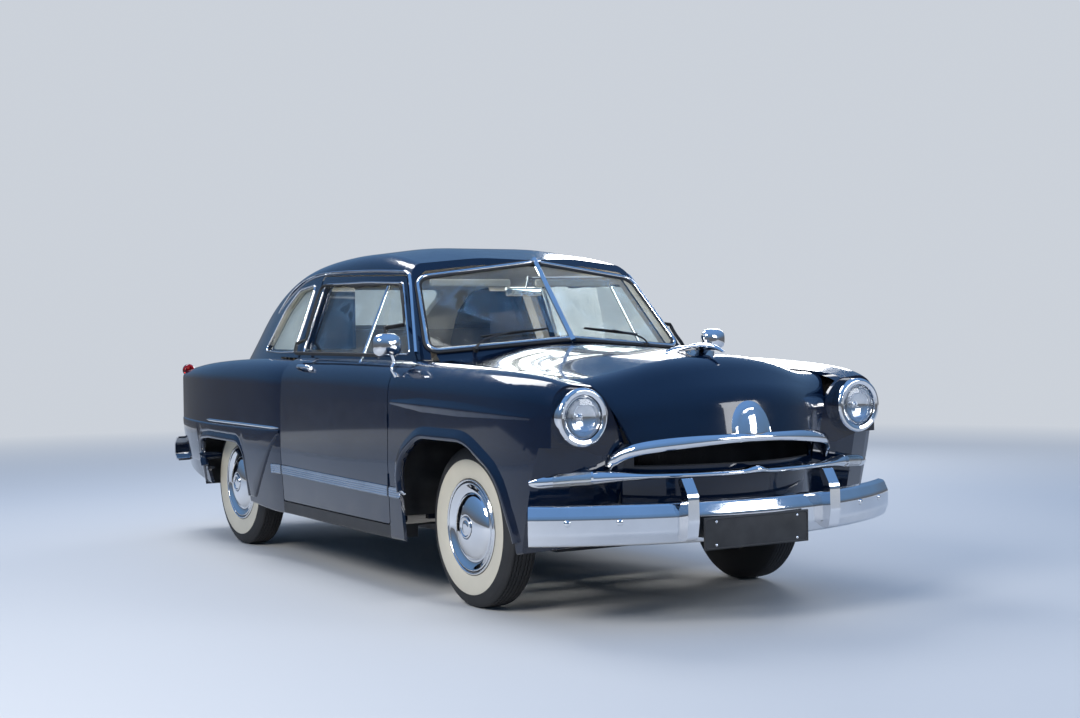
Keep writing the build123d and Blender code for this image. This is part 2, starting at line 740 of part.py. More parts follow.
with BuildPart() as headlamp_ring:
    ring_profile = [(lens_radius, 0), (ring_radius, 0), (ring_radius, ring_depth - 8)]
    ring_profile += [(ring_radius - 10, ring_depth), (lens_radius, ring_depth - 4)]
    add(turned(ring_profile, [0, 0, 10, 8, 3], fender_front, lamp_y, lamp_z))
keep(both_sides(headlamp_ring.part), "headlamp_rings")

with BuildPart() as headlamp:
    lens_profile = [(0, 0), (lens_radius - fit, 0), (lens_radius - fit, 24), (0, 38)]
    add(turned(lens_profile, [0, 0, 6, 0], fender_front, lamp_y, lamp_z))
keep(both_sides(headlamp.part), "headlamps")


def bumper_bar(x_tip, x_mid, half, height, wall):
    """A bowed pressed bar swept round its arc: an open channel seen from behind."""
    outer = [(-height / 2, 0), (-height / 2 + 5, 22), (-height / 5, 40)]
    outer += [(height / 5, 40), (height / 2 - 5, 22), (height / 2, 0)]
    inner = [(height / 2 - wall, 0), (height / 2 - wall - 3, 22 - wall), (height / 5, 40 - wall)]
    inner += [(-height / 5, 40 - wall), (-height / 2 + wall + 3, 22 - wall), (-height / 2 + wall, 0)]
    with BuildPart() as solid:
        with BuildLine() as bow:
            ThreePointArc((x_tip, -half, 0), (x_mid, 0, 0), (x_tip, half, 0))
        turn = bow.line % 0
        with BuildSketch(Plane(origin=bow.line @ 0, x_dir=(0, 0, 1), z_dir=turn)):
            with BuildLine():
                bends = [0, 16, 40, 40, 16, 0, 0, 10, 34, 34, 10, 0]
                FilletPolyline(*(outer + inner), radius=bends, close=True)
            make_face()
        sweep()
    return solid.part


# Bumpers: a bowed bar with two guards and brackets to the frame rails
bumper_z = 412
with BuildPart() as front_bumper:
    add(Location((0, 0, bumper_z)) * bumper_bar(1950, 2222, bumper_half - 6, 160, 8))
    guard = [(2200, 352), (2262, 345), (bumper_reach, 420), (2272, 520), (2228, 588), (2208, 575)]
    guard += [(2238, 500), (2216, 470)]
    for side in (-1, 1):
        add(side_prism(guard, [8, 20, 60, 60, 10, 10, 40, 10], side * 350 - 26, side * 350 + 26))
        with Locations(((rail_front + 2207) / 2, side * rail_y, front_bracket_z)):
            Box(2207 - rail_front, bracket_width, bracket_height)
keep(front_bumper.part, "front_bumper")

with BuildPart() as number_plate:
    with Locations((bumper_reach - 6, -40, 369)):
        Box(3, 513, 118)
    with Locations((2258, -40, 400)):
        Box(19, 60, 40)
    add(front_bumper.part, mode=Mode.SUBTRACT)
keep(number_plate.part, "number_plate")

with BuildPart() as rear_bumper:
    add(Location((0, 0, 470)) * facing_back(bumper_bar(2112, 2225, 800, 140, 8)))
    rear_guard = [(-2200, 400), (-2262, 395), (-bumper_reach, 470), (-2270, 560), (-2230, 600), (-2212, 540)]
    for side in (-1, 1):
        add(side_prism(rear_guard, [8, 20, 60, 40, 10, 20], side * 330 - 24, side * 330 + 24))
        with Locations(((rail_rear - 2234) / 2, side * rail_y, rear_bracket_z)):
            Box(2234 + rail_rear, bracket_width, bracket_height)
keep(rear_bumper.part, "rear_bumper")

# Tail lamps on the ends of the rear fenders
with BuildPart() as tail_lamp:
    lamp = [(0, 0), (26, 0), (44, 24), (30, 52), (0, 60)]
    add(facing_back(turned([(r, x * 0.6) for r, x in lamp], [0, 0, 18, 14, 0], -tail_end, 735, 925)))
keep(both_sides(tail_lamp.part), "tail_lamps")

# Mirrors on slanted stalks
with BuildPart() as mirrors:
    add(tube([(838, 818, 960), (820, 852, 1050), (800, 880, 1085)], 7, [8]))
    with Locations(Location((790, 885, 1088), (0, 80, 0))):
        Cone(52, 26, 60)
    add(side_outer, mode=Mode.SUBTRACT)
keep(both_sides(mirrors.part), "mirrors")

# Wipers: a post on the cowl, an arm and a blade that lies along its pane
blade_lift = glass + 6
blade_middle = pane_plane.offset(blade_lift).from_local_coords(Vector(430, 80, 0))
with BuildPart() as wiper:
    add(tube([(905, 330, 1040), (905, 330, 1084), tuple(blade_middle)], 5, [8]))
    add(hood_outer, mode=Mode.SUBTRACT)
    with BuildSketch(pane_plane.offset(blade_lift - 5)):
        with Locations(Location((430, 80, 0), (0, 0, 14))):
            Rectangle(300, 9)
    extrude(amount=9)
keep(both_sides(wiper.part), "wipers")

# Dashboard
with BuildPart() as dashboard:
    dash = [(742, 1040), (742, 820), (690, 800), (610, 860), (600, 985), (640, 1035)]
    add(side_prism(dash, [0, 20, 30, 40, 40, 20], -575, 575))
keep(dashboard.part, "dashboard")

# Steering column and wheel
wheel_centre = Vector(385, 360, 905)
wheel_rim, rim_thick, wheel_hub, hub_depth = 205, 13, 40, 44
column_axis = Vector(cos(pi * column_tilt / 180), 0, -0.469)
column_plane = Plane(origin=wheel_centre, x_dir=(0, 1, 0), z_dir=column_axis)
with BuildPart() as column:
    with BuildSketch(column_plane.offset(hub_depth + fit)):
        Circle(24)
    extrude(amount=560)
    add(dashboard.part, mode=Mode.SUBTRACT)
    add(block((firewall_x, firewall_x + floor_wall), (-585, 585), (floor_z, 1200)), mode=Mode.SUBTRACT)
keep(column.part, "steering_column")

with BuildPart() as steering_wheel:
    with BuildSketch(column_plane):
        Circle(wheel_hub)
    extrude(amount=hub_depth)
    for turn in (0, 90, 180):
        with BuildSketch(column_plane.offset(14)):
            with Locations(Location((0, 0, 0), (0, 0, turn))):
                Rectangle(wheel_rim, 26, align=(Align.MIN, Align.CENTER))
        extrude(amount=9)
    add(column_plane.offset(14).location * Torus(wheel_rim, rim_thick, mode=Mode.PRIVATE))
keep(steering_wheel.part, "steering_wheel")

# Benches: plain closed cushions, and the parcel shelf behind the rear one
with BuildPart() as front_bench:
    low = seat_base + fit
    seat = [(-90, low), (400, low), (420, 510), (380, 570), (-60, 540)]
    back = [(-215, low), (-110, low), (-80, 520), (-190, 990), (-240, 1010), (-310, 985)]
    add(side_prism(seat, [20, 20, 40, 40, 30], -600, 600))
    add(side_prism(back, [20, 20, 20, 30, 20, 30], -600, 600))
keep(front_bench.part, "front_bench")

shelf_z, bench_top = 1150, 1035
with BuildPart() as rear_bench:
    seat = [(-850, low), (-430, low), (-420, 490), (-450, 535), (-845, 505)]
    low = rear_floor_z + fit
    back = [(-1060, low), (-885, low), (-1000, bench_top - 25), (-1040, bench_top), (-1078, bench_top - 25)]
    add(side_prism(seat, [10, 20, 30, 40, 20], -560, 560))
    add(side_prism(back, [10, 10, 30, 20, 20], -560, 560))
keep(rear_bench.part, "rear_bench")

with BuildPart() as parcel_shelf:
    upright = [(-1090, rear_floor_z), (-1080, rear_floor_z), (-1086, shelf_z), (-1096, shelf_z)]
    add(side_prism(upright, 4 * [0], -560, 560))
    add(both_sides(roof_inner & block((-1560, -1090), (0, 700), (shelf_z - 12, shelf_z))))
keep(parcel_shelf.part, "parcel_shelf")

# Engine: one plain block with its gearbox and side arms on the rails, then its driveshaft
gearbox_rear, diff_radius = 820, 118
with BuildPart() as engine:
    with Locations((1290, 0, 610)):
        Box(680, 380, 540)
    fillet(engine.edges().filter_by(Axis.X), 30)
    with Locations((gearbox_rear + 70, 0, 350)):
        Box(140, 190, 190)
    for side in (-1, 1):
        with Locations((1460, side * 270, 350)):
            Box(60, 260, 30)
keep(engine.part, "engine")

with BuildPart() as driveshaft:
    rear_end = rear_axle + diff_radius + fit
    with Locations(Location(((gearbox_rear + rear_end) / 2, 0, tyre_radius), (0, 90, 0))):
        Cylinder(32, gearbox_rear - rear_end)
keep(driveshaft.part, "driveshaft")

with BuildPart() as radiator:
    with Locations((1850, 0, 640)):
        Box(60, 560, 480)
    with Locations((1850, 0, 895)):
        Box(80, 580, 50)
    for side in (-1, 1):
        with Locations((1850, side * 335, 406)):
            Box(40, 140, 20)
    latch_post = block((1840, 1860), (-12, 12), (910, 1100))
    add(latch_post & (Location((0, 0, -fit)) * hood_inner))
keep(radiator.part, "radiator")

# Front suspension: a crossmember and two pairs of wishbones
low_wish, high_wish, wish_thick = 232, 424, 20
with BuildPart() as front_suspension:
    with Locations((front_axle, 0, 232)):
        Box(90, 2 * rail_y - rail_width, 60)
    for side in (-1, 1):
        for low, thick in ((low_wish, wish_thick), (high_wish, wish_thick)):
            wish = [(front_axle - 130, side * 400), (front_axle + 130, side * 400)]
            wish += [(front_axle + 24, side * 632), (front_axle - 24, side * 632)]
            add(plan_prism(wish, 4 * [8], low, low + thick))
        with Locations((front_axle, side * 400, 385)):
            Box(90, 50, 120)
    add(rails, mode=Mode.SUBTRACT)
keep(front_suspension.part, "front_suspension")

# Knuckles: kingpin post, stub axle and steering arm
arm_y = kingpin_y - 30
arm_low = 270
wheel_bore = 24
with BuildPart() as knuckle:
    kingpin_low = low_wish + wish_thick + fit
    kingpin_high = high_wish - fit
    with Locations((front_axle, kingpin_y, (kingpin_low + kingpin_high) / 2)):
        Cylinder(17, kingpin_high - kingpin_low)
    with Locations(Location((front_axle, kingpin_y + 40, tyre_radius), (90, 0, 0))):
        Cylinder(wheel_bore - fit, 100)
    arm = [(front_axle + 16, kingpin_y - 10), (front_axle + 16, kingpin_y + 10)]
    arm += [(front_axle - arm_length - 16, arm_y + 12), (front_axle - arm_length - 16, arm_y - 12)]
    add(plan_prism(arm, 4 * [8], arm_low, arm_low + 16))
keep_pair(knuckle.part, "knuckle")

rod_z = 225
with BuildPart() as tie_rod:
    with Locations(Location((front_axle - arm_length, 0, rod_z), (90, 0, 0))):
        Cylinder(11, 2 * arm_y)
    for side in (-1, 1):
        with Locations((front_axle - arm_length, side * arm_y, (arm_low - fit + rod_z - 11) / 2)):
            Cylinder(14, arm_low - fit - rod_z + 11)
keep(tie_rod.part, "tie_rod")

# Wheels: rim, full bright disc and brake drum in one turned piece
wheel_profile = [
    (wheel_bore, -40), (150, -40), (150, 8), (160, 8), (160, -60), (rim_radius, -66),
    (rim_radius, 60), (rim_radius - 8, 66), (165, 52), (140, 46), (112, 66), (46, 84),
    (0, 92), (0, 20), (wheel_bore, 20),
]
wheel_radii = [0, 0, 0, 0, 0, 0, 0, 0, 0, 16, 30, 0, 0, 0, 0]
tyre_profile = [
    (rim_radius + fit, -60), (tyre_radius - 68, -tyre_width / 2), (tyre_radius, -tyre_width / 2 + 22),
    (tyre_radius, tyre_width / 2 - 22), (tyre_radius - 68, tyre_width / 2), (rim_radius + fit, 60),
]
for place, x in (("front", front_axle), ("rear", rear_axle)):
    keep_pair(turned_wheel(wheel_profile, wheel_radii, x, wheel_y, tyre_radius), place + "_wheel")
    keep_pair(turned_wheel(tyre_profile, 6 * [0], x, wheel_y, tyre_radius), place + "_tyre")

# Rear axle on leaf springs
with BuildPart() as rear_suspension:
    with Locations(Location((rear_axle, 0, tyre_radius), (90, 0, 0))):
        Cylinder(axle_radius, 2 * 640)
        Cylinder(wheel_bore - fit, 2 * (wheel_y + 19))
    with Locations((rear_axle, 0, tyre_radius)):
        Sphere(diff_radius)
    spring = [(-700, 274), (rear_axle, 300), (-1860, 340), (-1860, 322), (rear_axle, 270), (-700, 256)]
    rail_side = rail_y + rail_width / 2
    spring_side = spring_y + 24
    for side in (-1, 1):
        add(side_prism(spring, [4, 900, 4, 4, 900, 4], side * spring_y - 24, side * spring_y + 24))
        for x, z, height in ((-715, 262, 44), (-1845, 330, 26)):
            with Locations((x, side * (rail_side + spring_side) / 2, z)):
                Box(30, spring_side - rail_side, height)
        with Locations((-1845, side * rail_y, 380)):
            Box(30, 30, 80)
        with Locations((-1845, side * rail_side, 330)):
            Box(30, rail_width, 26)
keep(rear_suspension.part, "rear_suspension")

# Exhaust and fuel tank
pipe_z = 186
with BuildPart() as exhaust:
    run = [(1040, -190 - fit, 430), (1040, -250, 430), (960, -250, pipe_z), (-1500, -260, pipe_z)]
    run += [(-2160, -300, 300)]
    add(tube(run, 20, [40, 60, 60]))
    with Locations(Location((-430, -254, pipe_z + 40), (0, 90, 0))):
        Cylinder(60, 430)
keep(exhaust.part, "exhaust")

with BuildPart() as fuel_tank:
    with Locations((-1700, 0, 400)):
        Box(420, 620, 2 * (rear_floor_z - floor_wall - 400))
    fillet(fuel_tank.edges().filter_by(Axis.X), 30)
keep(fuel_tank.part, "fuel_tank")

# Hood trim: a plain winged ornament and a blank half-oval medallion
with BuildPart() as hood_trim:
    with Locations((1930, 0, 1046)):
        Box(180, 24, 16)
    wing = [(1990, 0), (1880, 100), (1830, 100), (1880, 0), (1830, -100), (1880, -100)]
    add(plan_prism(wing, [6, 6, 6, 20, 6, 6], 1054, 1062))
    with BuildSketch(Plane(origin=(2165, 0, 712), x_dir=(0, 1, 0), z_dir=(0.97, 0, 0.22))):
        Ellipse(62, 150)
        with Locations((0, -80)):
            Rectangle(140, 160, mode=Mode.SUBTRACT)
    extrude(amount=30)
    add(hood_outer, mode=Mode.SUBTRACT)
keep(hood_trim.part, "hood_trim")
print(len(pieces), "pieces")
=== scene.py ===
import math

import bmesh
import bpy
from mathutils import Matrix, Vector
from mathutils.bvhtree import BVHTree


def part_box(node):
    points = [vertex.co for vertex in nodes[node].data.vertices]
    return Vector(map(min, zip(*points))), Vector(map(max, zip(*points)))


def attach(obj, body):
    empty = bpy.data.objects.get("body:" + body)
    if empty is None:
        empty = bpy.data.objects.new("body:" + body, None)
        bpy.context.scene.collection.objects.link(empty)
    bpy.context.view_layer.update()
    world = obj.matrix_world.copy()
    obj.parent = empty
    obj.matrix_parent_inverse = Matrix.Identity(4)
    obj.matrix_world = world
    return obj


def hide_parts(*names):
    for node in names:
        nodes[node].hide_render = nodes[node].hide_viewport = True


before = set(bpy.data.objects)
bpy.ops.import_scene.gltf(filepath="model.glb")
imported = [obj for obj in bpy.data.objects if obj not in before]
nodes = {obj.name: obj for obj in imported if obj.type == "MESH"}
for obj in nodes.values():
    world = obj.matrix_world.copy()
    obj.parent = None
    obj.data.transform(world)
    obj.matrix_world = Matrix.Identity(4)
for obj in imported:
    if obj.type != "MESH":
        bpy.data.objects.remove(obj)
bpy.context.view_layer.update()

scene = bpy.context.scene
SIDES = (("left", 1), ("right", -1))


# Materials: each is a procedural node tree with its own variation in colour, sheen and relief.
def new_material(name):
    mat = bpy.data.materials.new(name)
    mat.use_nodes = True
    tree = mat.node_tree
    return mat, tree, tree.nodes["Principled BSDF"]


def feed(tree, node, inputs):
    """Links or sets a node's inputs, given as a name or number and a socket or value."""
    for key, value in inputs.items():
        if isinstance(value, bpy.types.NodeSocket):
            tree.links.new(value, node.inputs[key])
        else:
            node.inputs[key].default_value = value


def add_node(tree, kind, inputs=None, **settings):
    node = tree.nodes.new("ShaderNode" + kind)
    for key, value in settings.items():
        setattr(node, key, value)
    feed(tree, node, inputs or {})
    return node


def object_space(tree):
    return add_node(tree, "TexCoord").outputs["Object"]


def noise(tree, scale, detail=4.0, rough=0.5, stretch=None):
    """A noise texture in the object's own space."""
    place = object_space(tree)
    if stretch:
        place = add_node(tree, "Mapping", {"Scale": stretch, "Vector": place}).outputs["Vector"]
    return add_node(tree, "TexNoise", {"Scale": scale, "Detail": detail, "Roughness": rough,
                                       "Vector": place}).outputs["Fac"]


def spread(tree, value, low, high, start=0.3, end=0.7):
    """Maps a 0 to 1 value onto a range."""
    return add_node(tree, "MapRange", {"From Min": start, "From Max": end, "To Min": low, "To Max": high,
                                       "Value": value}).outputs["Result"]


def blend_color(tree, value, first, second):
    return add_node(tree, "Mix", {"A": (*first, 1), "B": (*second, 1), "Factor": value},
                    data_type="RGBA").outputs["Result"]


def relief(tree, shader, value, distance, strength=1.0):
    bump = add_node(tree, "Bump", {"Strength": strength, "Distance": distance, "Height": value})
    feed(tree, shader, {"Normal": bump.outputs["Normal"]})


def mix_shader(tree, amount, first, second):
    return add_node(tree, "MixShader", {"Fac": amount, 1: first, 2: second}).outputs["Shader"]


def make_paint(name, color, lighter, rough=0.16):
    """Old glossy body paint: faint mottling, polishing haze, and road dust near the ground."""
    mat, tree, shader = new_material(name)
    broad = noise(tree, 2.2, 3.0)
    fine = noise(tree, 260.0, 2.0)
    tint = blend_color(tree, spread(tree, broad, 0.0, 1.0), color, lighter)
    height = add_node(tree, "SeparateXYZ", {"Vector": object_space(tree)}).outputs["Z"]
    dust = add_node(tree, "Math", {0: spread(tree, height, 1.0, 0.0, 0.24, 0.52),
                                   1: spread(tree, noise(tree, 9.0, 6.0), 0.0, 0.34)}, operation="MULTIPLY")
    mix = add_node(tree, "Mix", {"B": (0.10, 0.09, 0.075, 1), "Factor": dust.outputs["Value"], "A": tint},
                   data_type="RGBA")
    haze = spread(tree, noise(tree, 14.0, 5.0), rough * 0.7, rough * 1.6)
    feed(tree, shader, {"Base Color": mix.outputs["Result"], "Roughness": haze, "Specular IOR Level": 0.12,
                        "Coat Weight": 1.0, "Coat Roughness": 0.035, "Coat IOR": 1.5})
    relief(tree, shader, fine, 0.00002, 0.25)
    return mat


def make_metal(name, color, rough, wear):
    """Bright or dull metal: haze in patches and fine scratches."""
    mat, tree, shader = new_material(name)
    patches = noise(tree, 7.0, 5.0)
    scratches = noise(tree, 90.0, 3.0, 0.6, (1.0, 1.0, 7.0))
    darker = tuple(c * 0.72 for c in color)
    tint = blend_color(tree, spread(tree, patches, 0.0, wear), color, darker)
    feed(tree, shader, {"Metallic": 1.0, "Base Color": tint,
                        "Roughness": spread(tree, scratches, rough * 0.6, rough * 1.7)})
    relief(tree, shader, scratches, 0.00003, 0.2)
    return mat


def make_plastic(name, color, rough, grain, depth, dusty, coat=0.0):
    """Rubber, plastic or satin paint with a fine grain and a dusty bloom."""
    mat, tree, shader = new_material(name)
    patches = noise(tree, 11.0, 5.0)
    lighter = tuple(c * 0.8 + 0.045 for c in color)
    mixed = blend_color(tree, spread(tree, patches, 0.0, dusty), color, lighter)
    feed(tree, shader, {"Base Color": mixed, "Coat Weight": coat,
                        "Roughness": spread(tree, patches, rough * 0.85, min(rough * 1.2, 1.0))})
    relief(tree, shader, noise(tree, grain, 3.0), depth, 0.6)
    return mat


def make_glass(name, color, rough, clear):
    """Thin pane: mostly see-through, reflective at a slant, with a faint film."""
    mat, tree, shader = new_material(name)
    film = noise(tree, 6.0, 4.0)
    feed(tree, shader, {"Base Color": (*color, 1), "Transmission Weight": 1.0, "IOR": 1.45,
                        "Roughness": spread(tree, film, rough, rough + 0.03)})
    through = add_node(tree, "BsdfTransparent", {"Color": (*color, 1)})
    body = mix_shader(tree, spread(tree, film, clear, clear - 0.07), shader.outputs["BSDF"],
                      through.outputs["BSDF"])
    sheen = add_node(tree, "BsdfGlossy", {"Roughness": 0.02})
    facing = add_node(tree, "LayerWeight").outputs["Facing"]
    slant = add_node(tree, "Math", {0: facing, 1: 4.0}, operation="POWER").outputs["Value"]
    pane = mix_shader(tree, spread(tree, slant, 0.025, 0.75, 0.0, 1.0), body, sheen.outputs["BSDF"])
    feed(tree, tree.nodes["Material Output"], {"Surface": pane})
    return mat


def make_cloth(name, color, second, scale=900.0, rough=0.85):
    """Woven cloth: warp and weft threads, soft sheen, slight fading."""
    mat, tree, shader = new_material(name)
    space = object_space(tree)
    waves = [add_node(tree, "TexWave", {"Scale": scale / 6, "Distortion": 0.6, "Vector": space},
                      bands_direction=way).outputs["Fac"] for way in ("X", "Y")]
    weave = add_node(tree, "Math", {0: waves[0], 1: waves[1]}, operation="MULTIPLY").outputs["Value"]
    tint = blend_color(tree, spread(tree, noise(tree, 5.0, 4.0), 0.0, 1.0), color, second)
    feed(tree, shader, {"Base Color": tint, "Roughness": rough, "Sheen Weight": 0.3})
    relief(tree, shader, weave, 0.0006, 0.5)
    return mat


NAVY, NAVY_LIGHTER = (0.0009, 0.0058, 0.0200), (0.0012, 0.0078, 0.0260)
paint = make_paint("navy_paint", NAVY, NAVY_LIGHTER)
chrome = make_metal("chrome", (0.83, 0.84, 0.86), 0.055, 0.35)
steel = make_metal("dull_steel", (0.42, 0.42, 0.43), 0.34, 0.8)
iron = make_plastic("painted_iron", (0.030, 0.031, 0.034), 0.55, 90.0, 0.0006, 0.6)
black_paint = make_plastic("chassis_black", (0.012, 0.012, 0.013), 0.5, 150.0, 0.0002, 0.5)
rubber = make_plastic("black_rubber", (0.012, 0.012, 0.013), 0.72, 300.0, 0.0002, 0.35)
cream = make_plastic("cream_sidewall", (0.60, 0.55, 0.44), 0.6, 260.0, 0.0001, 0.3)
ivory = make_plastic("ivory_plastic", (0.62, 0.55, 0.42), 0.25, 40.0, 0.00003, 0.2, 0.5)
trim_paint = make_plastic("inner_paint", (0.20, 0.185, 0.16), 0.42, 80.0, 0.00008, 0.2, 0.3)
cloth = make_cloth("seat_cloth", (0.36, 0.33, 0.28), (0.42, 0.385, 0.33))
liner = make_cloth("headliner", (0.52, 0.48, 0.41), (0.58, 0.54, 0.46), 1400.0, 0.95)
carpet = make_cloth("carpet", (0.05, 0.045, 0.04), (0.08, 0.07, 0.06), 700.0, 0.98)
glass = make_glass("window_glass", (0.93, 0.96, 0.95), 0.0, 1.0)
lens = make_glass("lens_glass", (0.96, 0.97, 0.97), 0.02, 0.35)
red_lens = make_glass("red_lens", (0.55, 0.012, 0.010), 0.05, 0.12)
parking_lens = make_glass("parking_lens", (0.92, 0.90, 0.84), 0.12, 0.1)

MATERIALS = (
    (glass, "windscreen fixed_glass door_glass_left door_glass_right"),
    (chrome, "grille_bars headlamp_rings front_bumper rear_bumper mirrors hood_trim"),
    (lens, "headlamps"), (parking_lens, "parking_lamps"), (red_lens, "tail_lamps"),
    (rubber, "windscreen_frame"), (ivory, "steering_wheel"), (carpet, "parcel_shelf"),
    (trim_paint, "dashboard steering_column"), (cloth, "front_bench rear_bench"),
    (black_paint, "grille number_plate wipers radiator frame floor front_suspension rear_suspension"),
    (black_paint, "fuel_tank wheelhouses inner_aprons driveshaft"),
    (iron, "engine knuckle_left knuckle_right"), (steel, "tie_rod exhaust"),
    (chrome, "front_wheel_left front_wheel_right rear_wheel_left rear_wheel_right"),
    (rubber, "front_tyre_left front_tyre_right rear_tyre_left rear_tyre_right"),
)
material_of = {name: mat for mat, names in MATERIALS for name in names.split()}


def inner_faces(obj, outside, inside, test):
    """Gives the faces that pass the test the inside material and the rest the outside one."""
    obj.data.materials.clear()
    obj.data.materials.append(outside)
    obj.data.materials.append(inside)
    for face in obj.data.polygons:
        face.material_index = 1 if test(face) else 0


for name, obj in nodes.items():
    obj.data.materials.clear()
    obj.data.materials.append(material_of.get(name, paint))

inner_faces(nodes["roof"], paint, liner, lambda f: f.normal.z < -0.15 or (
    f.normal.y * f.center.y < 0 and abs(f.normal.y) > 0.3))
for side in ("left", "right"):
    inner_faces(nodes["door_" + side], paint, trim_paint,
                lambda f: f.normal.y * f.center.y < 0 and abs(f.normal.y) > 0.5)


# Mesh tools
def metres(rows):
    """Rows of numbers in millimetres, in metres."""
    return [tuple(v / 1000 for v in row) for row in rows]


def grid_faces(rows, cols, wrap_rows=False, wrap_cols=False):
    """Quads between neighbouring rows and columns of points."""
    faces = []
    for i in range(rows if wrap_rows else rows - 1):
        for j in range(cols if wrap_cols else cols - 1):
            k, m = (i + 1) % rows, (j + 1) % cols
            faces.append((i * cols + j, i * cols + m, k * cols + m, k * cols + j))
    return faces


def capped(rows, cols):
    """The faces of a tube of rows of points, with a face over each end."""
    ends = [tuple(range(cols)), tuple(range((rows - 1) * cols, rows * cols))]
    return grid_faces(rows, cols, False, True) + ends


def make_mesh(name, verts, faces, mats, angle=35, column_mats=None):
    """A mesh with even normals, smooth but for the edges sharper than the angle."""
    mesh = bpy.data.meshes.new(name)
    mesh.from_pydata([tuple(v) for v in verts], [], faces)
    for mat in mats:
        mesh.materials.append(mat)
    if column_mats:
        for i, face in enumerate(mesh.polygons):
            face.material_index = column_mats[i % len(column_mats)]
    work = bmesh.new()
    work.from_mesh(mesh)
    bmesh.ops.recalc_face_normals(work, faces=work.faces)
    work.to_mesh(mesh)
    work.free()
    mesh.shade_smooth()
    mesh.set_sharp_from_angle(angle=math.radians(angle))
    return mesh


def place(name, mesh, body, slot, location=(0, 0, 0), turn=0.0, gone=()):
    """Puts a mesh in the scene on its body, in place of CAD nodes where they are named."""
    obj = bpy.data.objects.new(name, mesh)
    scene.collection.objects.link(obj)
    obj.location = location
    obj.rotation_euler = (0, 0, turn)
    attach(obj, body)
    if gone:
        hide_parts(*gone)
    return obj


def spun(name, profile, steps, mats, shift=None, angle=40):
    """A profile of outward distance, radius and material, turned about the Y axis."""
    verts = []
    for i in range(steps):
        turn = 2 * math.pi * i / steps
        for k, (out, radius, _) in enumerate(profile):
            y = out + (shift(i, k) if shift else 0)
            verts.append((radius * math.cos(turn), y, radius * math.sin(turn)))
    faces = grid_faces(steps, len(profile), True, False)
    return make_mesh(name, verts, faces, mats, angle, [row[2] for row in profile[:-1]])


def resample(points, count, closed):
    """Points spread evenly along a polyline. A closed one ends with its first point again."""
    lengths = [0.0]
    for p, q in zip(points, points[1:]):
        lengths.append(lengths[-1] + (q - p).length)
    out = []
    k = 0
    for i in range(count):
        goal = lengths[-1] * i / (count if closed else count - 1)
        while k < len(points) - 2 and lengths[k + 1] < goal:
            k += 1
        span = max(lengths[k + 1] - lengths[k], 1e-9)
        out.append(points[k].lerp(points[k + 1], min((goal - lengths[k]) / span, 1.0)))
    return out


SPLINE_STEPS = 12


def smooth_line(points, count, closed=False):
    """Points spread evenly along a smooth line through the given ones."""
    pts = [Vector(p) for p in points]
    n = len(pts)
    fine = []
    for i in range(n if closed else n - 1):
        if closed:
            a, b, c, d = pts[i - 1], pts[i], pts[(i + 1) % n], pts[(i + 2) % n]
        else:
            a, b, c, d = pts[max(i - 1, 0)], pts[i], pts[i + 1], pts[min(i + 2, n - 1)]
        for step in range(SPLINE_STEPS):
            t = step / SPLINE_STEPS
            fine.append(0.5 * ((2 * b) + (c - a) * t + (2 * a - 5 * b + 4 * c - d) * t * t
                               + (3 * b - a - 3 * c + d) * t ** 3))
    fine.append(pts[0] if closed else pts[-1])
    return resample(fine, count, closed)


def sweep(path, ups, section, scale=None, closed=False):
    """A section of (side, out) swept along a path; out follows the given up directions."""
    verts = []
    n, m = len(path), len(section)
    for i, (point, up) in enumerate(zip(path, ups)):
        before = path[i - 1] if (i or closed) else path[0]
        after = path[(i + 1) % n] if (i < n - 1 or closed) else path[-1]
        tangent = (after - before).normalized()
        side = tangent.cross(up).normalized()
        out = side.cross(tangent)
        wide, high = scale(i / (n - 1)) if scale else (1, 1)
        verts += [point + side * (s * wide) + out * (o * high) for s, o in section]
    return verts, grid_faces(n, m, True, True) if closed else capped(n, m)


def round_section(wide, high, count=14, power=2.0):
    """A closed oval section; a higher power makes it squarer."""
    out = []
    for i in range(count):
        turn = 2 * math.pi * i / count
        c, s = math.cos(turn), math.sin(turn)
        out.append((wide / 2 * math.copysign(abs(c) ** (2 / power), c),
                    high / 2 * math.copysign(abs(s) ** (2 / power), s)))
    return out


def half_round(wide, high, sink=0.002, count=9):
    """A domed strip's section with its flat side sunk a little into what carries it."""
    out = [(wide / 2 * math.cos(math.pi * i / (count - 1)), high * math.sin(math.pi * i / (count - 1)))
           for i in range(count)]
    return out + [(-wide / 2, -sink), (wide / 2, -sink)]


def rounded_box(low, high, radius, steps=4):
    """Points and faces of a box with rounded edges, as rings between its two ends along X."""
    rings = []
    for i in range(steps + 1):
        turn = math.pi / 2 * i / steps
        rings.append((low[0] + radius * (1 - math.cos(turn)), radius * (1 - math.sin(turn))))
    rings += [(low[0] + high[0] - x, inset) for x, inset in reversed(rings)]
    verts = []
    count = 4 * (steps + 1)
    for x, inset in rings:
        for corner, (sy, sz) in enumerate(((1, 1), (-1, 1), (-1, -1), (1, -1))):
            cy = (high[1] if sy > 0 else low[1]) - sy * radius
            cz = (high[2] if sz > 0 else low[2]) - sz * radius
            for i in range(steps + 1):
                turn = math.pi / 2 * (corner + i / steps)
                r = radius - inset
                verts.append((x, cy + r * math.cos(turn), cz + r * math.sin(turn)))
    return verts, capped(len(rings), count)


def tree_of(*names):
    """A search tree over the faces of some CAD nodes."""
    verts, faces = [], []
    for name in names:
        start = len(verts)
        verts += [v.co.copy() for v in nodes[name].data.vertices]
        faces += [tuple(start + i for i in p.vertices) for p in nodes[name].data.polygons]
    return BVHTree.FromPolygons(verts, faces)


side_tree = tree_of("front_fender_left", "door_left", "quarter_left", "roof", "floor")


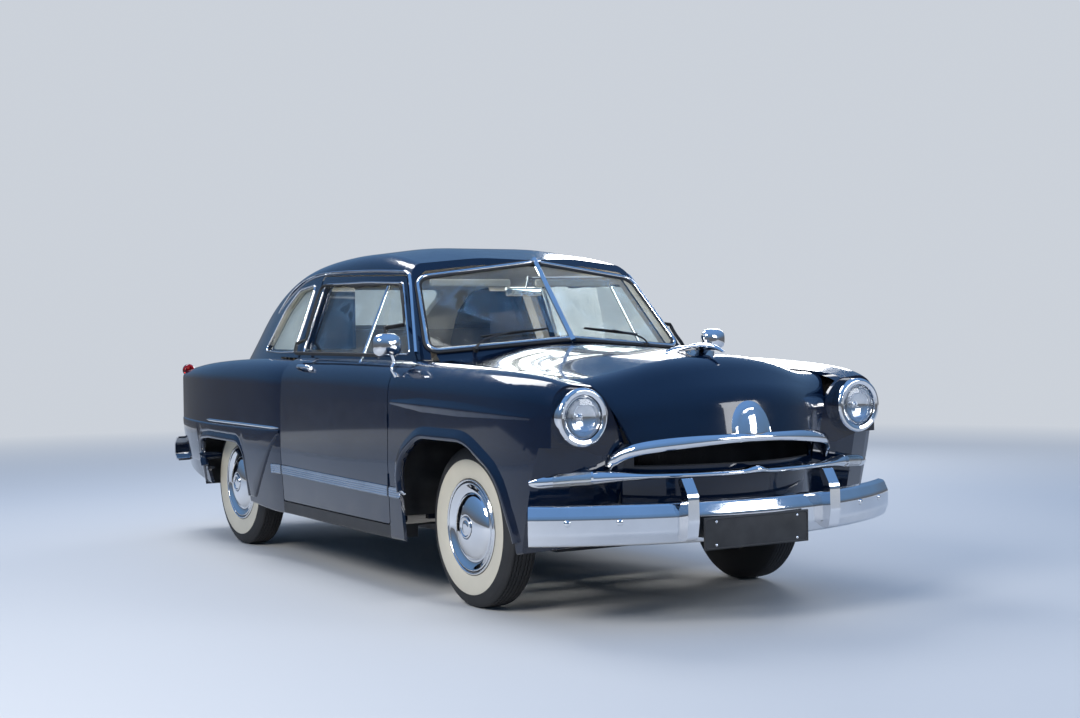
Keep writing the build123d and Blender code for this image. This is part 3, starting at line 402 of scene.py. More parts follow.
def on_side(x, z, lift=0.0):
    """The left side's outer surface at a place seen from the side, and its outward direction."""
    hit, normal, _, _ = side_tree.ray_cast(Vector((x, 1.2, z)), Vector((0, -1, 0)))
    if hit is None or hit.y < 0.3:
        hit, normal, _, _ = side_tree.find_nearest(Vector((x, 0.85, z)))
    if normal.y < 0:
        normal = -normal
    return hit + normal * lift, normal


def mirrored(mesh):
    """The mesh for the other side of the car."""
    other = mesh.copy()
    for v in other.vertices:
        v.co.y = -v.co.y
    other.flip_normals()
    return other


def pair(name, mesh, body, slot, gone=None):
    """A left piece and its mirror image. The body and node names may hold the word left."""
    for side in ("left", "right"):
        part = mesh if side == "left" else mirrored(mesh)
        names = [n.replace("left", side) for n in gone or ()]
        place(name + "_" + side, part, body.replace("left", side), slot, gone=names)


def solid(name, verts, faces, mat, body, slot, angle=35, gone=(), both=False):
    """Places a mesh of one material, alone or as a left piece and its mirror image."""
    put = pair if both else place
    put(name, make_mesh(name, verts, faces, [mat], angle), body, slot, gone=gone)


def strip(name, path, ups, section, mat, body, slot, scale=None, gone=(), closed=False, angle=35,
          both=True):
    """A swept piece on the left side and its mirror image, or one piece only."""
    if isinstance(ups, Vector):
        ups = [ups] * len(path)
    verts, faces = sweep(path, ups, section, scale, closed)
    solid(name, verts, faces, mat, body, slot, angle, gone, both)


def on_side_line(points, count, lift=0.0):
    """A line over the left side through (x, z) points, with its outward directions."""
    flat = smooth_line([(x, 0, z) for x, z in points], count)
    hits = [on_side(p.x, p.z, lift) for p in flat]
    return [h[0] for h in hits], [h[1] for h in hits]


def laid_on_side(flat, probes):
    """A path at the x and z of the outline, with its depth and direction read at the probes."""
    path, ups = [], []
    for (x, z), probe in zip(flat, probes):
        point, normal = on_side(*probe)
        path.append(Vector((x, point.y, z)))
        ups.append(normal)
    return path, ups


# Tyres: pale sidewall outside, black shoulders, and ribs parted by zigzag grooves
def turned(rows):
    """A profile in metres. A row that names no material takes the first."""
    return [(row[0] / 1000, row[1] / 1000, row[2] if len(row) > 2 else 0) for row in rows]


GROOVES = (-42, -26, -10, 10, 26, 42)
tread = []
for centre in GROOVES:
    for out, deep in ((-5, 0), (-2.0, 0), (-1.3, 6), (1.3, 6), (2.0, 0), (5, 0)):
        radius = 335 - ((centre + out) / 52) ** 2 * 2.2 - deep
        tread.append((centre + out, radius))
tyre_rows = [
    (-50, 197.5), (-60, 199), (-66, 206), (-71, 225), (-73.5, 250), (-73, 276), (-69.5, 298),
    (-64, 313), (-58, 324), (-54, 330), (-50.5, 332.4),
]
first_tread = len(tyre_rows)
tyre_rows += tread
tyre_rows += [
    (50.5, 332.4), (54, 330), (58, 324), (61, 318.5), (62.6, 316.5), (64, 313.5), (67, 306),
    (69.5, 298), (71.6, 289), (72.6, 283), (72, 281.4), (73.2, 280.4, 1), (74, 277, 1), (74.2, 266, 1),
    (73.8, 252, 1), (72.6, 238, 1), (70.8, 226, 1), (68.6, 215, 1), (66.2, 207, 1), (64.2, 203.4, 1),
    (63.4, 202.2), (61.5, 199.5), (58, 198), (50, 197.5),
]


def zigzag(i, k):
    k -= first_tread
    if not 0 <= k < len(tread) or k % 6 in (0, 5):
        return 0
    return 0.0022 * (abs(i % 4 - 2) - 1)


tyre_mesh = spun("tyre", turned(tyre_rows), 352, [rubber, cream], zigzag, 32)
disc_rows = [
    (20, 24), (-40, 24), (-40, 150), (8, 150), (8, 160), (-60, 160), (-66, 197), (50, 197), (58, 199),
    (64.5, 199.4), (67.6, 198), (68.8, 195), (68, 191.5), (65, 189, 1), (61.5, 187.6, 1),
    (60.4, 186, 1), (62, 184.4), (66.5, 183.4), (68.2, 181.5), (68, 179), (65.2, 174), (60.6, 166),
    (56.6, 158), (54, 150), (53, 144), (53.4, 141), (55, 138.6), (58.5, 136.4), (64, 130), (69.8, 120),
    (75, 108), (79.6, 94), (83.2, 80), (85.8, 66), (87.4, 54), (87.8, 49), (86.6, 47.2, 1),
    (86.4, 46.2, 1), (88, 45.4), (91.4, 44.8), (93, 43), (93.4, 40), (92.6, 37.6), (90.4, 36.4),
    (89.8, 34), (90.2, 26), (91.6, 23.4), (92.6, 20), (93.2, 12), (93.4, 4), (93.4, 0.2),
]
disc_mesh = spun("wheel_disc", turned(disc_rows), 120, [chrome, black_paint], None, 50)
WHEEL_Y, AXLE_X, TYRE_R = 0.686, 1.27, 0.335
for end, x in (("front", AXLE_X), ("rear", -AXLE_X)):
    for side, sign in SIDES:
        body = end + "_wheel_" + side
        spot = (x, sign * WHEEL_Y, TYRE_R)
        turn = 0.0 if sign > 0 else math.pi
        place(end + "_tyre_ribbed_" + side, tyre_mesh, body, "tyre", spot, turn, [end + "_tyre_" + side])
        place(end + "_disc_" + side, disc_mesh, body, "chrome", spot, turn, [body])

ROUND_STEPS = 12


def rounded_line(points, radii, closed=False):
    """A polyline in metres from millimetre corners, each rounded by its radius."""
    pts = [Vector((x / 1000, z / 1000)) for x, z in points]
    out = []
    n = len(pts)
    for i, (p, radius) in enumerate(zip(pts, radii)):
        if not radius or (not closed and i in (0, n - 1)):
            out.append(p)
            continue
        to_a = (pts[i - 1] - p).normalized()
        to_b = (pts[(i + 1) % n] - p).normalized()
        half = to_a.angle(to_b) / 2
        centre = p + (to_a + to_b).normalized() * (radius / 1000 / math.sin(half))
        first = p + to_a * (radius / 1000 / math.tan(half)) - centre
        last = p + to_b * (radius / 1000 / math.tan(half)) - centre
        for k in range(ROUND_STEPS + 1):
            mix = first.lerp(last, k / ROUND_STEPS)
            out.append(centre + mix.normalized() * radius / 1000)
    return [(p.x, p.y) for p in out]


def evenly(points, count, closed=False):
    """Points spread evenly along a polyline of (x, z)."""
    pts = [Vector((x, 0, z)) for x, z in points]
    if closed:
        pts.append(pts[0])
    return [(p.x, p.z) for p in resample(pts, count, closed)]


def grown(points, amount, centre):
    """Points of (x, z) moved away from a centre by an amount."""
    out = []
    for x, z in points:
        away = Vector((x - centre[0], z - centre[1])).normalized() * amount
        out.append((x + away.x, z + away.y))
    return out


# Arch lips: flared edges rolled outward round the wheel openings
FRONT_ARCH = [(892, 462), (868, 590), (1070, 706), (1470, 708), (1702, 590), (1790, 362), (1798, 330)]
FRONT_ARCH_R = [0, 150, 220, 300, 220, 60, 0]
REAR_ARCH = [(-872, 300), (-905, 576), (-1400, 580), (-1590, 563), (-1496, 395)]
REAR_ARCH_R = [0, 110, 400, 50, 0]
LIP = metres([(-9, -16), (-11, -2), (-8, 8), (-2, 13), (6, 14.5), (16, 12), (28, 6.5), (42, 1),
              (50, -2), (30, -5), (0, -8)])
lips = (("front", FRONT_ARCH, FRONT_ARCH_R, (1.335, 0.33), 1.0),
        ("rear", REAR_ARCH, REAR_ARCH_R, (-1.2, 0.33), 0.72))
for end, corners, radii, middle, size in lips:
    flat = evenly(rounded_line(corners, radii), 90)
    path, ups = laid_on_side(flat, grown(flat, 0.012, middle))
    section = [(s * size, o * size) for s, o in LIP]
    if end == "rear":
        section = [(-s, o) for s, o in section]
    strip(end + "_arch_lip", path, ups, section, paint, "body", "paint", angle=60)


def relief_panel(columns, lift, edge, rows=12):
    """A raised panel over the left side: columns of (x, low z, high z), rolled down at its edges."""
    verts = []
    n = len(columns)
    for i, (x, low, high) in enumerate(columns):
        for j in range(rows):
            t = j / (rows - 1)
            bend = (0, edge / 2, edge)
            z = low + (high - low) * t
            if j < 3:
                z = low + bend[j]
            if j > rows - 4:
                z = high - bend[rows - 1 - j]
            rise = lift
            if j in (0, rows - 1) or i in (0, n - 1):
                rise = -0.004
            elif j in (1, rows - 2) or i in (1, n - 2):
                rise = lift * 0.8
            verts.append(on_side(x, z, rise)[0])
    return verts, grid_faces(n, rows)


arch_top = rounded_line(REAR_ARCH, REAR_ARCH_R)


def arch_height(x):
    """The rear opening's upper edge at a place along the car."""
    best = 0.0
    for (x0, z0), (x1, z1) in zip(arch_top, arch_top[1:]):
        if min(x0, x1) <= x <= max(x0, x1) and abs(x1 - x0) > 1e-6:
            best = max(best, z0 + (z1 - z0) * (x - x0) / (x1 - x0))
    return best


skirt = []
for i in range(72):
    x = -0.476 - i * 0.0222
    high = 0.663 + 0.004 * math.sin((x + 0.47) * 2)
    if x > -0.785:
        low = 0.640 - (-0.487 - x) / 0.298 * 0.345
    elif x > -0.868:
        low = 0.295
    elif x > -1.60:
        low = arch_height(x) + 0.03
    else:
        low = 0.43
    skirt.append((x, min(low, high - 0.03), high))
skirt = [(-0.474, 0.636, 0.663)] + skirt
solid("skirt_panel", *relief_panel(skirt, 0.007, 0.012), paint, "body", "paint", 60, both=True)

# Bright strip along the top of the raised panel
path, ups = on_side_line([(-0.478, 0.668), (-0.9, 0.672), (-1.44, 0.672)], 60)
STRIP_TOP = [(s, o + 0.004) for s, o in half_round(0.015, 0.007)]
strip("skirt_bright_strip", path, ups, STRIP_TOP, chrome, "body", "chrome",
      lambda t: [min(1, 0.25 + 12 * min(t, 1 - t))] * 2)

# Ribbed bright strip low on the side, in three lengths so that the door opens
RIBS = []
for i in range(41):
    s = 0.024 - 0.048 * i / 40
    RIBS.append((s, 0.0052 + 0.0022 * math.cos(2 * math.pi * 5 * i / 40) - (0.003 if i in (0, 40) else 0)))
RIBS += [(-0.024, -0.002), (0.024, -0.002)]


def strip_z(x):
    return 0.4645 - (x + 0.56) * 0.0092


for name, body, start, end in (("rear", "body", -0.562, -0.463), ("door", "door_left", -0.450, 0.770),
                               ("front", "body", 0.786, 0.900)):
    path, ups = on_side_line([(start, strip_z(start)), ((start + end) / 2, strip_z((start + end) / 2)),
                              (end, strip_z(end))], 40)
    strip("side_strip_" + name, path, ups, RIBS, chrome, body, "chrome", angle=25)

# Front fender crease: a soft ridge that runs out towards the headlamp
path, ups = on_side_line([(0.800, 0.843), (1.2, 0.838), (1.6, 0.829), (1.93, 0.818)], 70)
CREASE = metres([(-30, -1), (-14, 2.8), (0, 7.2), (6, 4.8), (18, 1.2), (30, -1), (0, -4)])


def crease_size(t):
    return (0.35 + 0.65 * min(1, 4 * t) * min(1, 2.2 * (1 - t)),
            min(1, 5 * t + 0.2) * min(1, 1.6 * (1 - t) + 0.05))


strip("fender_crease", path, ups, CREASE, paint, "body", "paint", crease_size, angle=70)

# Bright rain gutter over the side windows
gutter = metres([(722, 1052), (620, 1200), (497, 1375), (452, 1412), (380, 1421), (100, 1432),
                 (-250, 1437), (-520, 1432), (-700, 1410), (-840, 1370), (-960, 1312), (-1050, 1245)])
path, ups = on_side_line(gutter, 150)
GUTTER = half_round(0.014, 0.013, 0.002, 7)
strip("rain_gutter", path, ups, GUTTER, chrome, "body", "chrome",
      lambda t: (1, 1) if t < 0.9 else (1 - 6 * (t - 0.9), 1 - 7 * (t - 0.9)))

# Window surrounds
DOOR_WINDOW = [(-404, 1046), (662, 1046), (427, 1364), (-400, 1378)]
DOOR_WINDOW_R = [12, 10, 24, 24]
QUARTER_WINDOW = [(-545, 1050), (-1010, 1050), (-905, 1250), (-760, 1352), (-545, 1376)]
QUARTER_WINDOW_R = [12, 22, 160, 120, 24]


def window_bead(name, corners, radii, body, middle, grow, section, mat, slot):
    """A bead or seal round a window of the left side, and its mirror image."""
    flat = grown(evenly(rounded_line(corners, radii, True), 150, True), grow, middle)
    path, ups = laid_on_side(flat, flat)
    for _ in range(4):
        ups = [(ups[i - 1] + ups[i] + ups[(i + 1) % len(ups)]).normalized() for i in range(len(ups))]
    strip(name, path, ups, section, mat, body, slot, closed=True)


BEAD = half_round(0.010, 0.006, 0.010, 7)
SEAL = half_round(0.010, 0.003, 0.014, 5)
for name, corners, radii, body, middle in (
        ("door_window", DOOR_WINDOW, DOOR_WINDOW_R, "door_left", (0.08, 1.2)),
        ("quarter_window", QUARTER_WINDOW, QUARTER_WINDOW_R, "body", (-0.74, 1.18))):
    window_bead(name + "_bead", corners, radii, body, middle, 0.009, BEAD, chrome, "chrome")
    window_bead(name + "_seal", corners, radii, body, middle, -0.001, SEAL, rubber, "black_rubber")

# Vent window divider in each door
top, low = on_side(0.300, 1.352)[0], on_side(0.342, 1.056)[0]
top, low = top + Vector((0, -0.012, 0)), low + Vector((0, -0.012, 0))
path = [low.lerp(top, i / 10) for i in range(11)]
strip("vent_divider", path, Vector((0, 1, 0.25)), round_section(0.016, 0.014, 12, 3), chrome,
      "door_left", "chrome")

# Door handles: a bar on two feet with a push button
_, normal = on_side(-0.19, 0.966)
bar = []
for t in range(25):
    x = -0.275 + 0.17 * t / 24
    foot, out = on_side(x, 0.966)
    rise = 0.026 * min(1, 5.5 * min(t, 24 - t) / 24) ** 0.7 + 0.001
    bar.append(foot + out * rise)
strip("door_handle", bar, normal, round_section(0.022, 0.011, 14, 2.6), chrome, "door_left", "chrome",
      lambda t: (1 - 0.35 * abs(2 * t - 1), 1))
foot, out = on_side(-0.122, 0.966)
path = [foot + out * (k * 0.004 - 0.002) for k in range(8)]
strip("handle_button", path, Vector((0, 0, 1)), round_section(0.020, 0.020, 20), chrome, "door_left",
      "chrome", lambda t: (1.35, 1.35) if t < 0.35 else (0.9, 0.9))

# Grille: a bright brow that closes round the mouth, and a long bar with a peak and lamps
def across(line):
    """A line from the middle outward, run from the right end to the left one."""
    return [(x, -y, z) for x, y, z in reversed(line[1:])] + line


brow_line = metres([(2205, 0, 722), (2196, 140, 720), (2170, 270, 714), (2128, 380, 704),
                    (2075, 462, 689), (2030, 512, 666), (2004, 540, 636), (1996, 548, 610)])
path = smooth_line(across(brow_line), 121)
ups = [Vector((1.0, 0.55 * p.y, 0.35)).normalized() for p in path]
BROW = metres([(-19, -4), (-20.5, 4), (-16, 11), (-6, 16.5), (6, 17), (15, 12), (19.5, 5), (16.5, 1),
               (12, -12), (-10, -16)])


def brow_scale(t):
    from_middle = abs(2 * t - 1)
    wide = 0.86 + 0.42 * math.sin(math.pi * min(from_middle / 1.35, 1)) ** 2
    tip = min(1, 9 * (1 - from_middle) + 0.42)
    return wide * tip, (0.9 + 0.2 * from_middle) * tip


strip("grille_brow", path, ups, BROW, chrome, "body", "chrome", brow_scale, ["grille_bars"], angle=60,
      both=False)
bar_line = metres([(2222, 0, 600.5), (2205, 60, 592), (2196, 140, 590), (2160, 300, 589),
                   (2103, 450, 588), (2035, 585, 586), (1985, 680, 582), (1945, 760, 577),
                   (1918, 815, 572), (1900, 850, 569)])
path = smooth_line(across(bar_line), 161)
ups = [Vector((1.0, 0.75 * p.y, 0.0)).normalized() for p in path]
BAR = metres([(-11.5, -20), (-12.5, -4), (-10.5, 6), (-4, 14.5), (1.5, 17), (6.5, 14.5), (11.5, 6),
              (12.5, -4), (11.5, -20)])


def bar_scale(t):
    y = abs(path[min(int(round(t * (len(path) - 1))), len(path) - 1)].y)
    wide = 0.95 + 1.15 * min(max((y - 0.40) / 0.24, 0), 1) ** 1.5
    if y > 0.79:
        wide *= max(1 - ((y - 0.79) / 0.062) ** 2, 0.0) ** 0.5 * 0.94 + 0.06
    peak = 1 + 0.35 * max(1 - y / 0.05, 0)
    return wide * peak, 1.0 if y < 0.8 else max(1 - (y - 0.80) / 0.07, 0.25)


strip("grille_bar", path, ups, BAR, chrome, "body", "chrome", bar_scale, angle=60, both=False)


def bar_point(y):
    """The long bar's middle at a place across the car, and its forward direction."""
    best = min(range(len(path)), key=lambda i: abs(path[i].y - y))
    return path[best], ups[best], bar_scale(best / (len(path) - 1))[0]


# Parking lamps wrap the bar near its ends: clear lenses (their ribs are not modelled) in bright clips
for side, sign in SIDES:
    spots = [bar_point(sign * (0.640 + 0.0065 * i)) for i in range(21)]
    lens_path = [p for p, _, _ in spots]
    lens_up = [u for _, u, _ in spots]
    fat = [(s * 2.02, o + 0.0045) for s, o in BAR]
    strip("parking_lens_" + side, lens_path, lens_up, fat, parking_lens, "body", "lens_clear",
          lambda t: (1.0 + 0.06 * math.sin(math.pi * t), 1), ["parking_lamps"] if side == "left" else (),
          both=False)
    for end in (0, 20):
        p, u, _ = spots[end]
        q = spots[end - 1 if end else 1][0]
        way = (q - p).normalized() * (0.0065 if not end else -0.0065)
        clip = [p - way * 0.9, p - way * 0.2, p + way * 0.5]
        ring = [(s * 2.14, o + 0.0062) for s, o in BAR]
        strip("lamp_clip_%s_%d" % (side, end), clip, u, ring, chrome, "body", "chrome", both=False)

# Grille fins: thin uprights set back in the mouth along a curve, bowed forward a little at mid height
verts, faces = [], []
for i in range(-41, 42):
    y = i * 0.0112
    x = 2.128 - 0.165 * (y / 0.476) ** 2
    top, low = 0.703, 0.604
    start = len(verts)
    for z in (low, (low + top) / 2, top):
        bow = 0.004 if z not in (low, top) else 0.0
        for dx, dy in ((0.010 + bow, 0.0), (0.004 + bow, 0.0013), (-0.016, 0.0013), (-0.016, -0.0013),
                       (0.004 + bow, -0.0013)):
            verts.append((x + dx, y + dy, z))
    faces += [tuple(start + a for a in f) for f in grid_faces(3, 5, False, True)]
solid("grille_fins", verts, faces, black_paint, "body", "black_paint")

# Headlamps: lens (its flutes are not modelled), bright bowl and bulb, in the bright rings
LAMP_Y, LAMP_Z = 0.690, 0.818
lens_rows = [
    (0, 85.5), (3.5, 85), (7.5, 80), (11.5, 69), (14.5, 54), (16.5, 36), (17.6, 18), (18, 0.2),
]
bowl_rows = [
    (0.5, 83.5), (-4, 80), (-12, 70), (-19, 57), (-24, 42), (-27, 27), (-28, 14), (-15, 10), (-12, 5),
    (-11.5, 0.2),
]
RING_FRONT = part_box("headlamps")[1].x - 0.010
for side, sign in SIDES:
    turn = -math.pi / 2
    for name, rows, mat, slot in (("headlamp_bowl", bowl_rows, chrome, "chrome"),
                                  ("headlamp_lens", lens_rows, lens, "lens_clear")):
        piece = spun(name, turned(rows), 72, [mat])
        gone = ["headlamps"] if (name == "headlamp_bowl" and side == "left") else ()
        place(name + "_" + side, piece, "body", slot, (RING_FRONT, sign * LAMP_Y, LAMP_Z), turn, gone)

# Hood medallion: a blank half-oval shield standing on the brow
hood_tree = tree_of("hood")


def on_hood(start, way, near):
    """Where a ray meets the hood, or else the hood's nearest place."""
    hit = hood_tree.ray_cast(Vector(start), Vector(way))[0]
    return hood_tree.find_nearest(Vector(near))[0] if hit is None else hit


def on_hood_top(x):
    return on_hood((x, 0.0, 2.0), (0, 0, -1), (x, 0.0, 1.0))


verts = []
rings, spokes = 9, 40
for i in range(rings):
    t = i / (rings - 1)
    for j in range(spokes):
        turn = 2 * math.pi * j / spokes
        c, s = math.cos(turn), math.sin(turn)
        y = 0.098 * t * math.copysign(abs(c) ** 0.9, c)
        z = 0.742 + (0.124 * t * s if s > 0 else 0.028 * t * s)
        near_y, near_z = max(min(y, 0.2), -0.2), max(z, 0.725)
        base = on_hood((3.0, near_y, near_z), (-1, 0, 0), (2.2, near_y, near_z))
        dome = 0.026 * (1 - t ** 3.2) * (1 - 0.35 * abs(c) * t) + (0.006 if 0.80 < t < 0.92 else 0)
        verts.append((base.x + dome + (-0.003 if i == rings - 1 else 0.001), y, z))
solid("hood_medallion", verts, grid_faces(rings, spokes, False, True), chrome, "hood", "chrome", 50,
      ["hood_trim"])

# Hood ornament: a plain winged dart on a low foot
top = on_hood_top(1.86)
ORNAMENT = [(1.700, 0.012), (1.76, 0.020), (1.84, 0.030), (1.92, 0.031), (1.98, 0.022), (2.012, 0.010)]
path = smooth_line([(x, 0, top.z + rise) for x, rise in ORNAMENT], 40)


def ornament_size(t):
    return (max(math.sin(math.pi * min(t * 0.86 + 0.05, 1)), 0.06) ** 0.8,
            max(math.sin(math.pi * (t * 0.9 + 0.04)), 0.06) ** 0.8)


strip("ornament_body", path, Vector((0, 0, 1)), round_section(0.034, 0.030, 20), chrome, "hood", "chrome",
      ornament_size, angle=70, both=False)
wing = []
for i in range(13):
    t = i / 12
    y = 0.010 + 0.098 * t
    root_x, chord = 1.945 - 0.155 * t ** 1.15, 0.150 * (1 - 0.62 * t)
    z = top.z + 0.026 - 0.006 * t + 0.010 * math.sin(math.pi * t) - 0.020 * t ** 3
    for k in range(16):
        turn = 2 * math.pi * k / 16
        rib = 1 + 0.35 * math.cos(turn * 5) * t
        wing.append((root_x - chord / 2 + chord / 2 * math.cos(turn), y,
                     z + 0.0050 * (1 - 0.55 * t) * math.sin(turn) * rib))
solid("ornament_wing", wing, capped(13, 16), chrome, "hood", "chrome", 50, both=True)
foot = []
for i in range(16):
    x = 1.76 + 0.19 * i / 15
    base = on_hood_top(x)
    half = 0.012 * math.sin(math.pi * (i + 0.5) / 16) + 0.002
    foot += [(x, half, base.z - 0.003), (x, half * 0.5, base.z + 0.020), (x, -half * 0.5, base.z + 0.020),
             (x, -half, base.z - 0.003)]
solid("ornament_foot", foot, capped(16, 4), chrome, "hood", "chrome", 60)

# Windscreen surround: two bright beads with rubber inside, and the middle bar
FOOT, HEAD, CORNER = Vector((0.883, 0, 1.108)), Vector((0.577, 0, 1.457)), Vector((0.775, 0.674, 1.059))
TIP = Vector((0.526, 0.587, 1.396))
screen_x = (CORNER - FOOT).normalized()
screen_out = screen_x.cross(HEAD - FOOT).normalized()
screen_y = screen_out.cross(screen_x)


def on_screen(u, v, lift=0.0):
    """A point on the left pane: u across from the middle, v up, in metres."""
    return FOOT + screen_x * u + screen_y * v + screen_out * lift


wide, tall = (CORNER - FOOT).length, (HEAD - FOOT).length
tip_u, tip_v = (TIP - FOOT).dot(screen_x), (TIP - FOOT).dot(screen_y)
corners = [(-4, -4), (wide * 1000 + 6, -6), (tip_u * 1000 + 8, tip_v * 1000 + 8), (-4, tall * 1000 + 7)]
edge = rounded_line(corners, [0, 46, 66, 0])
edge_u = evenly(edge, 140)
outer = [on_screen(u, v, 0.006) for u, v in edge_u]
strip("screen_bead", outer, screen_out, half_round(0.017, 0.010, 0.010, 9), chrome, "body", "chrome")
inner = [(u * 0.983 + 0.002, v * 0.966 + 0.006) for u, v in edge_u]
strip("screen_seal", [on_screen(u, v, 0.005) for u, v in inner], screen_out,
      half_round(0.016, 0.006, 0.004, 7), rubber, "body", "black_rubber")
path = [FOOT.lerp(HEAD, t / 20) + Vector((0.006, 0, 0.005)) for t in range(-1, 22)]
bar_up = Vector((screen_out.x, 0, screen_out.z)).normalized()
MIDDLE_BAR = metres([(-13, -4), (-13, 4), (-5, 13), (5, 13), (13, 4), (13, -4)])
strip("screen_middle_bar", path, bar_up, MIDDLE_BAR, chrome, "body", "chrome", angle=30, both=False)

# Scuttle panel: painted sheet from the foot of each pane down under the cowl's edge
verts = []
for i in range(40):
    u = (wide - 0.030) * i / 39
    start = on_screen(u, -0.001, 0.001)
    for j in range(6):
        t = j / 5
        verts.append(start + Vector((0.045 * t, 0, -0.050 * t - 0.006 * math.sin(math.pi * t))))
solid("scuttle_panel", verts, grid_faces(40, 6), paint, "body", "paint", 60, both=True)

# Wipers: arms from the cowl, blades lying along the foot of each pane
for side, sign in SIDES:
    def at(u, v, lift):
        p = on_screen(u, v, lift)
        return Vector((p.x, sign * p.y, p.z))

    out = Vector((screen_out.x, sign * screen_out.y, screen_out.z))
    blade = [at(0.10 + 0.33 * t / 12, 0.052 - 0.012 * t / 12, 0.017) for t in range(13)]
    strip("wiper_blade_" + side, blade, out, round_section(0.007, 0.018, 8, 3), rubber, "body",
          "black_rubber", lambda t: (1, 0.6 + 0.4 * math.sin(math.pi * t)), ["wipers"] if sign > 0 else (),
          both=False)
    arm = smooth_line([at(0.470, -0.020, 0.012), at(0.452, -0.004, 0.028), at(0.40, 0.018, 0.032),
                       at(0.27, 0.046, 0.027)], 24)
    strip("wiper_arm_" + side, arm, out, round_section(0.010, 0.006, 8, 3), black_paint, "body",
          "black_rubber", lambda t: (1.2 - 0.6 * t, 1), both=False)
    hub = [at(0.470, -0.020, 0.004 * k - 0.012) for k in range(9)]
    strip("wiper_hub_" + side, hub, Vector((0, 1, 0)), round_section(0.024, 0.024, 16), black_paint, "body",
          "black_rubber", lambda t: [1.25 - 0.45 * t] * 2, both=False)

# Door mirrors: squared bright heads on curved stalks, with an oval foot on the fender
MIRROR_ROWS = [(-0.004, 0.90), (-0.005, 0.93), (-0.010, 0.955), (-0.010, 0.985), (-0.004, 1.0),
               (0.006, 0.99), (0.016, 0.93), (0.026, 0.82), (0.034, 0.65), (0.039, 0.42), (0.041, 0.18),
               (0.0415, 0.02)]
MIRROR_STEPS = 44
verts = []
outline = round_section(0.130, 0.102, MIRROR_STEPS, 3.2)
for dx, size in MIRROR_ROWS:
    verts += [(0.788 + dx, 0.885 + y * size, 1.088 + z * size) for y, z in outline]
solid("mirror_head", verts, capped(len(MIRROR_ROWS), MIRROR_STEPS), chrome, "body", "chrome", 50, both=True)
foot, out = on_side(0.815, 0.955)
stalk = smooth_line([foot - out * 0.004, foot + out * 0.022 + Vector((0, 0, 0.02)), (0.806, 0.862, 1.012),
                     (0.808, 0.874, 1.050)], 30)
strip("mirror_stalk", stalk, Vector((1, 0, 0)), round_section(0.013, 0.013, 14), chrome, "body", "chrome",
      lambda t: (1.5 - 0.5 * min(1, 6 * t), 1.9 - 0.9 * min(1, 6 * t)), ["mirrors"])

# Blank number plate: pressed panel with a raised rim and four domed bolts
low, high = Vector((2.2625, -0.298, 0.307)), Vector((2.2685, 0.215, 0.432))
solid("number_plate_panel", *rounded_box(low, high, 0.0024), black_paint, "body", "black_paint", 40,
      ["number_plate"])
rim = evenly(rounded_line([(-292, 313), (209, 313), (209, 426), (-292, 426)], [12] * 4, True), 120, True)
path = [Vector((2.2685, y, z)) for y, z in rim]
strip("number_plate_rim", path, Vector((1, 0, 0)), half_round(0.006, 0.0026, 0.001), black_paint, "body",
      "black_paint", closed=True, both=False)


BOLT_RINGS, BOLT_STEPS = 7, 20


def bolt(name, centre, way, radius, height):
    """A domed bolt head on a surface."""
    way = Vector(way).normalized()
    side = way.cross(Vector((0.1, 0.2, 1))).normalized()
    up = way.cross(side)
    verts = []
    for i in range(BOLT_RINGS):
        t = math.pi / 2 * i / (BOLT_RINGS - 1)
        for k in range(BOLT_STEPS):
            turn = 2 * math.pi * k / BOLT_STEPS
            r = radius * math.cos(t * 0.995)
            spot = Vector(centre) + side * (r * math.cos(turn)) + up * (r * math.sin(turn))
            verts.append(spot + way * (height * math.sin(t)))
    ring = [v - way * 0.003 for v in verts[:BOLT_STEPS]]
    count = BOLT_RINGS * BOLT_STEPS
    faces = grid_faces(BOLT_RINGS + 1, BOLT_STEPS, False, True) + [tuple(range(count, count + BOLT_STEPS))]
    solid(name, ring + verts, faces, chrome, "body", "chrome", 60)


for i, (y, z) in enumerate(((-0.24, 0.325), (0.157, 0.325), (-0.24, 0.414), (0.157, 0.414))):
    bolt("plate_bolt_%d" % i, (2.2685, y, z), (1, 0, 0), 0.006, 0.004)
bumper_tree = tree_of("front_bumper")
for i, y in enumerate((-0.78, -0.60, 0.60, 0.78)):
    hit, normal, _, _ = bumper_tree.ray_cast(Vector((3, y, 0.425)), Vector((-1, 0, 0)))
    if hit:
        bolt("bumper_bolt_%d" % i, hit, normal, 0.013, 0.007)

# Cabin: sun visors and the inside mirror
for side, sign in SIDES:
    low = Vector((0.455, min(sign * 0.07, sign * 0.50), 1.352))
    high = Vector((0.475, max(sign * 0.07, sign * 0.50), 1.386))
    solid("sun_visor_" + side, *rounded_box(low, high, 0.0095), liner, "body", "cloth", 60)
shell = rounded_box(Vector((0.470, -0.105, 1.306)), Vector((0.494, 0.095, 1.348)), 0.011)
solid("inside_mirror", *shell, chrome, "body", "chrome", 60)
path = smooth_line([(0.488, 0, 1.335), (0.505, 0, 1.36), (0.520, 0, 1.400)], 14)
strip("inside_mirror_stalk", path, Vector((0, 1, 0)), round_section(0.009, 0.009, 12), chrome, "body",
      "chrome", both=False)

# Seats: cushions swollen by a cloth simulation, then sewn channels and light piping
LARGEST_MOVE, CHANNEL, VOXEL, SWELL_FRAMES = 0.022, 0.085, 0.012, 20


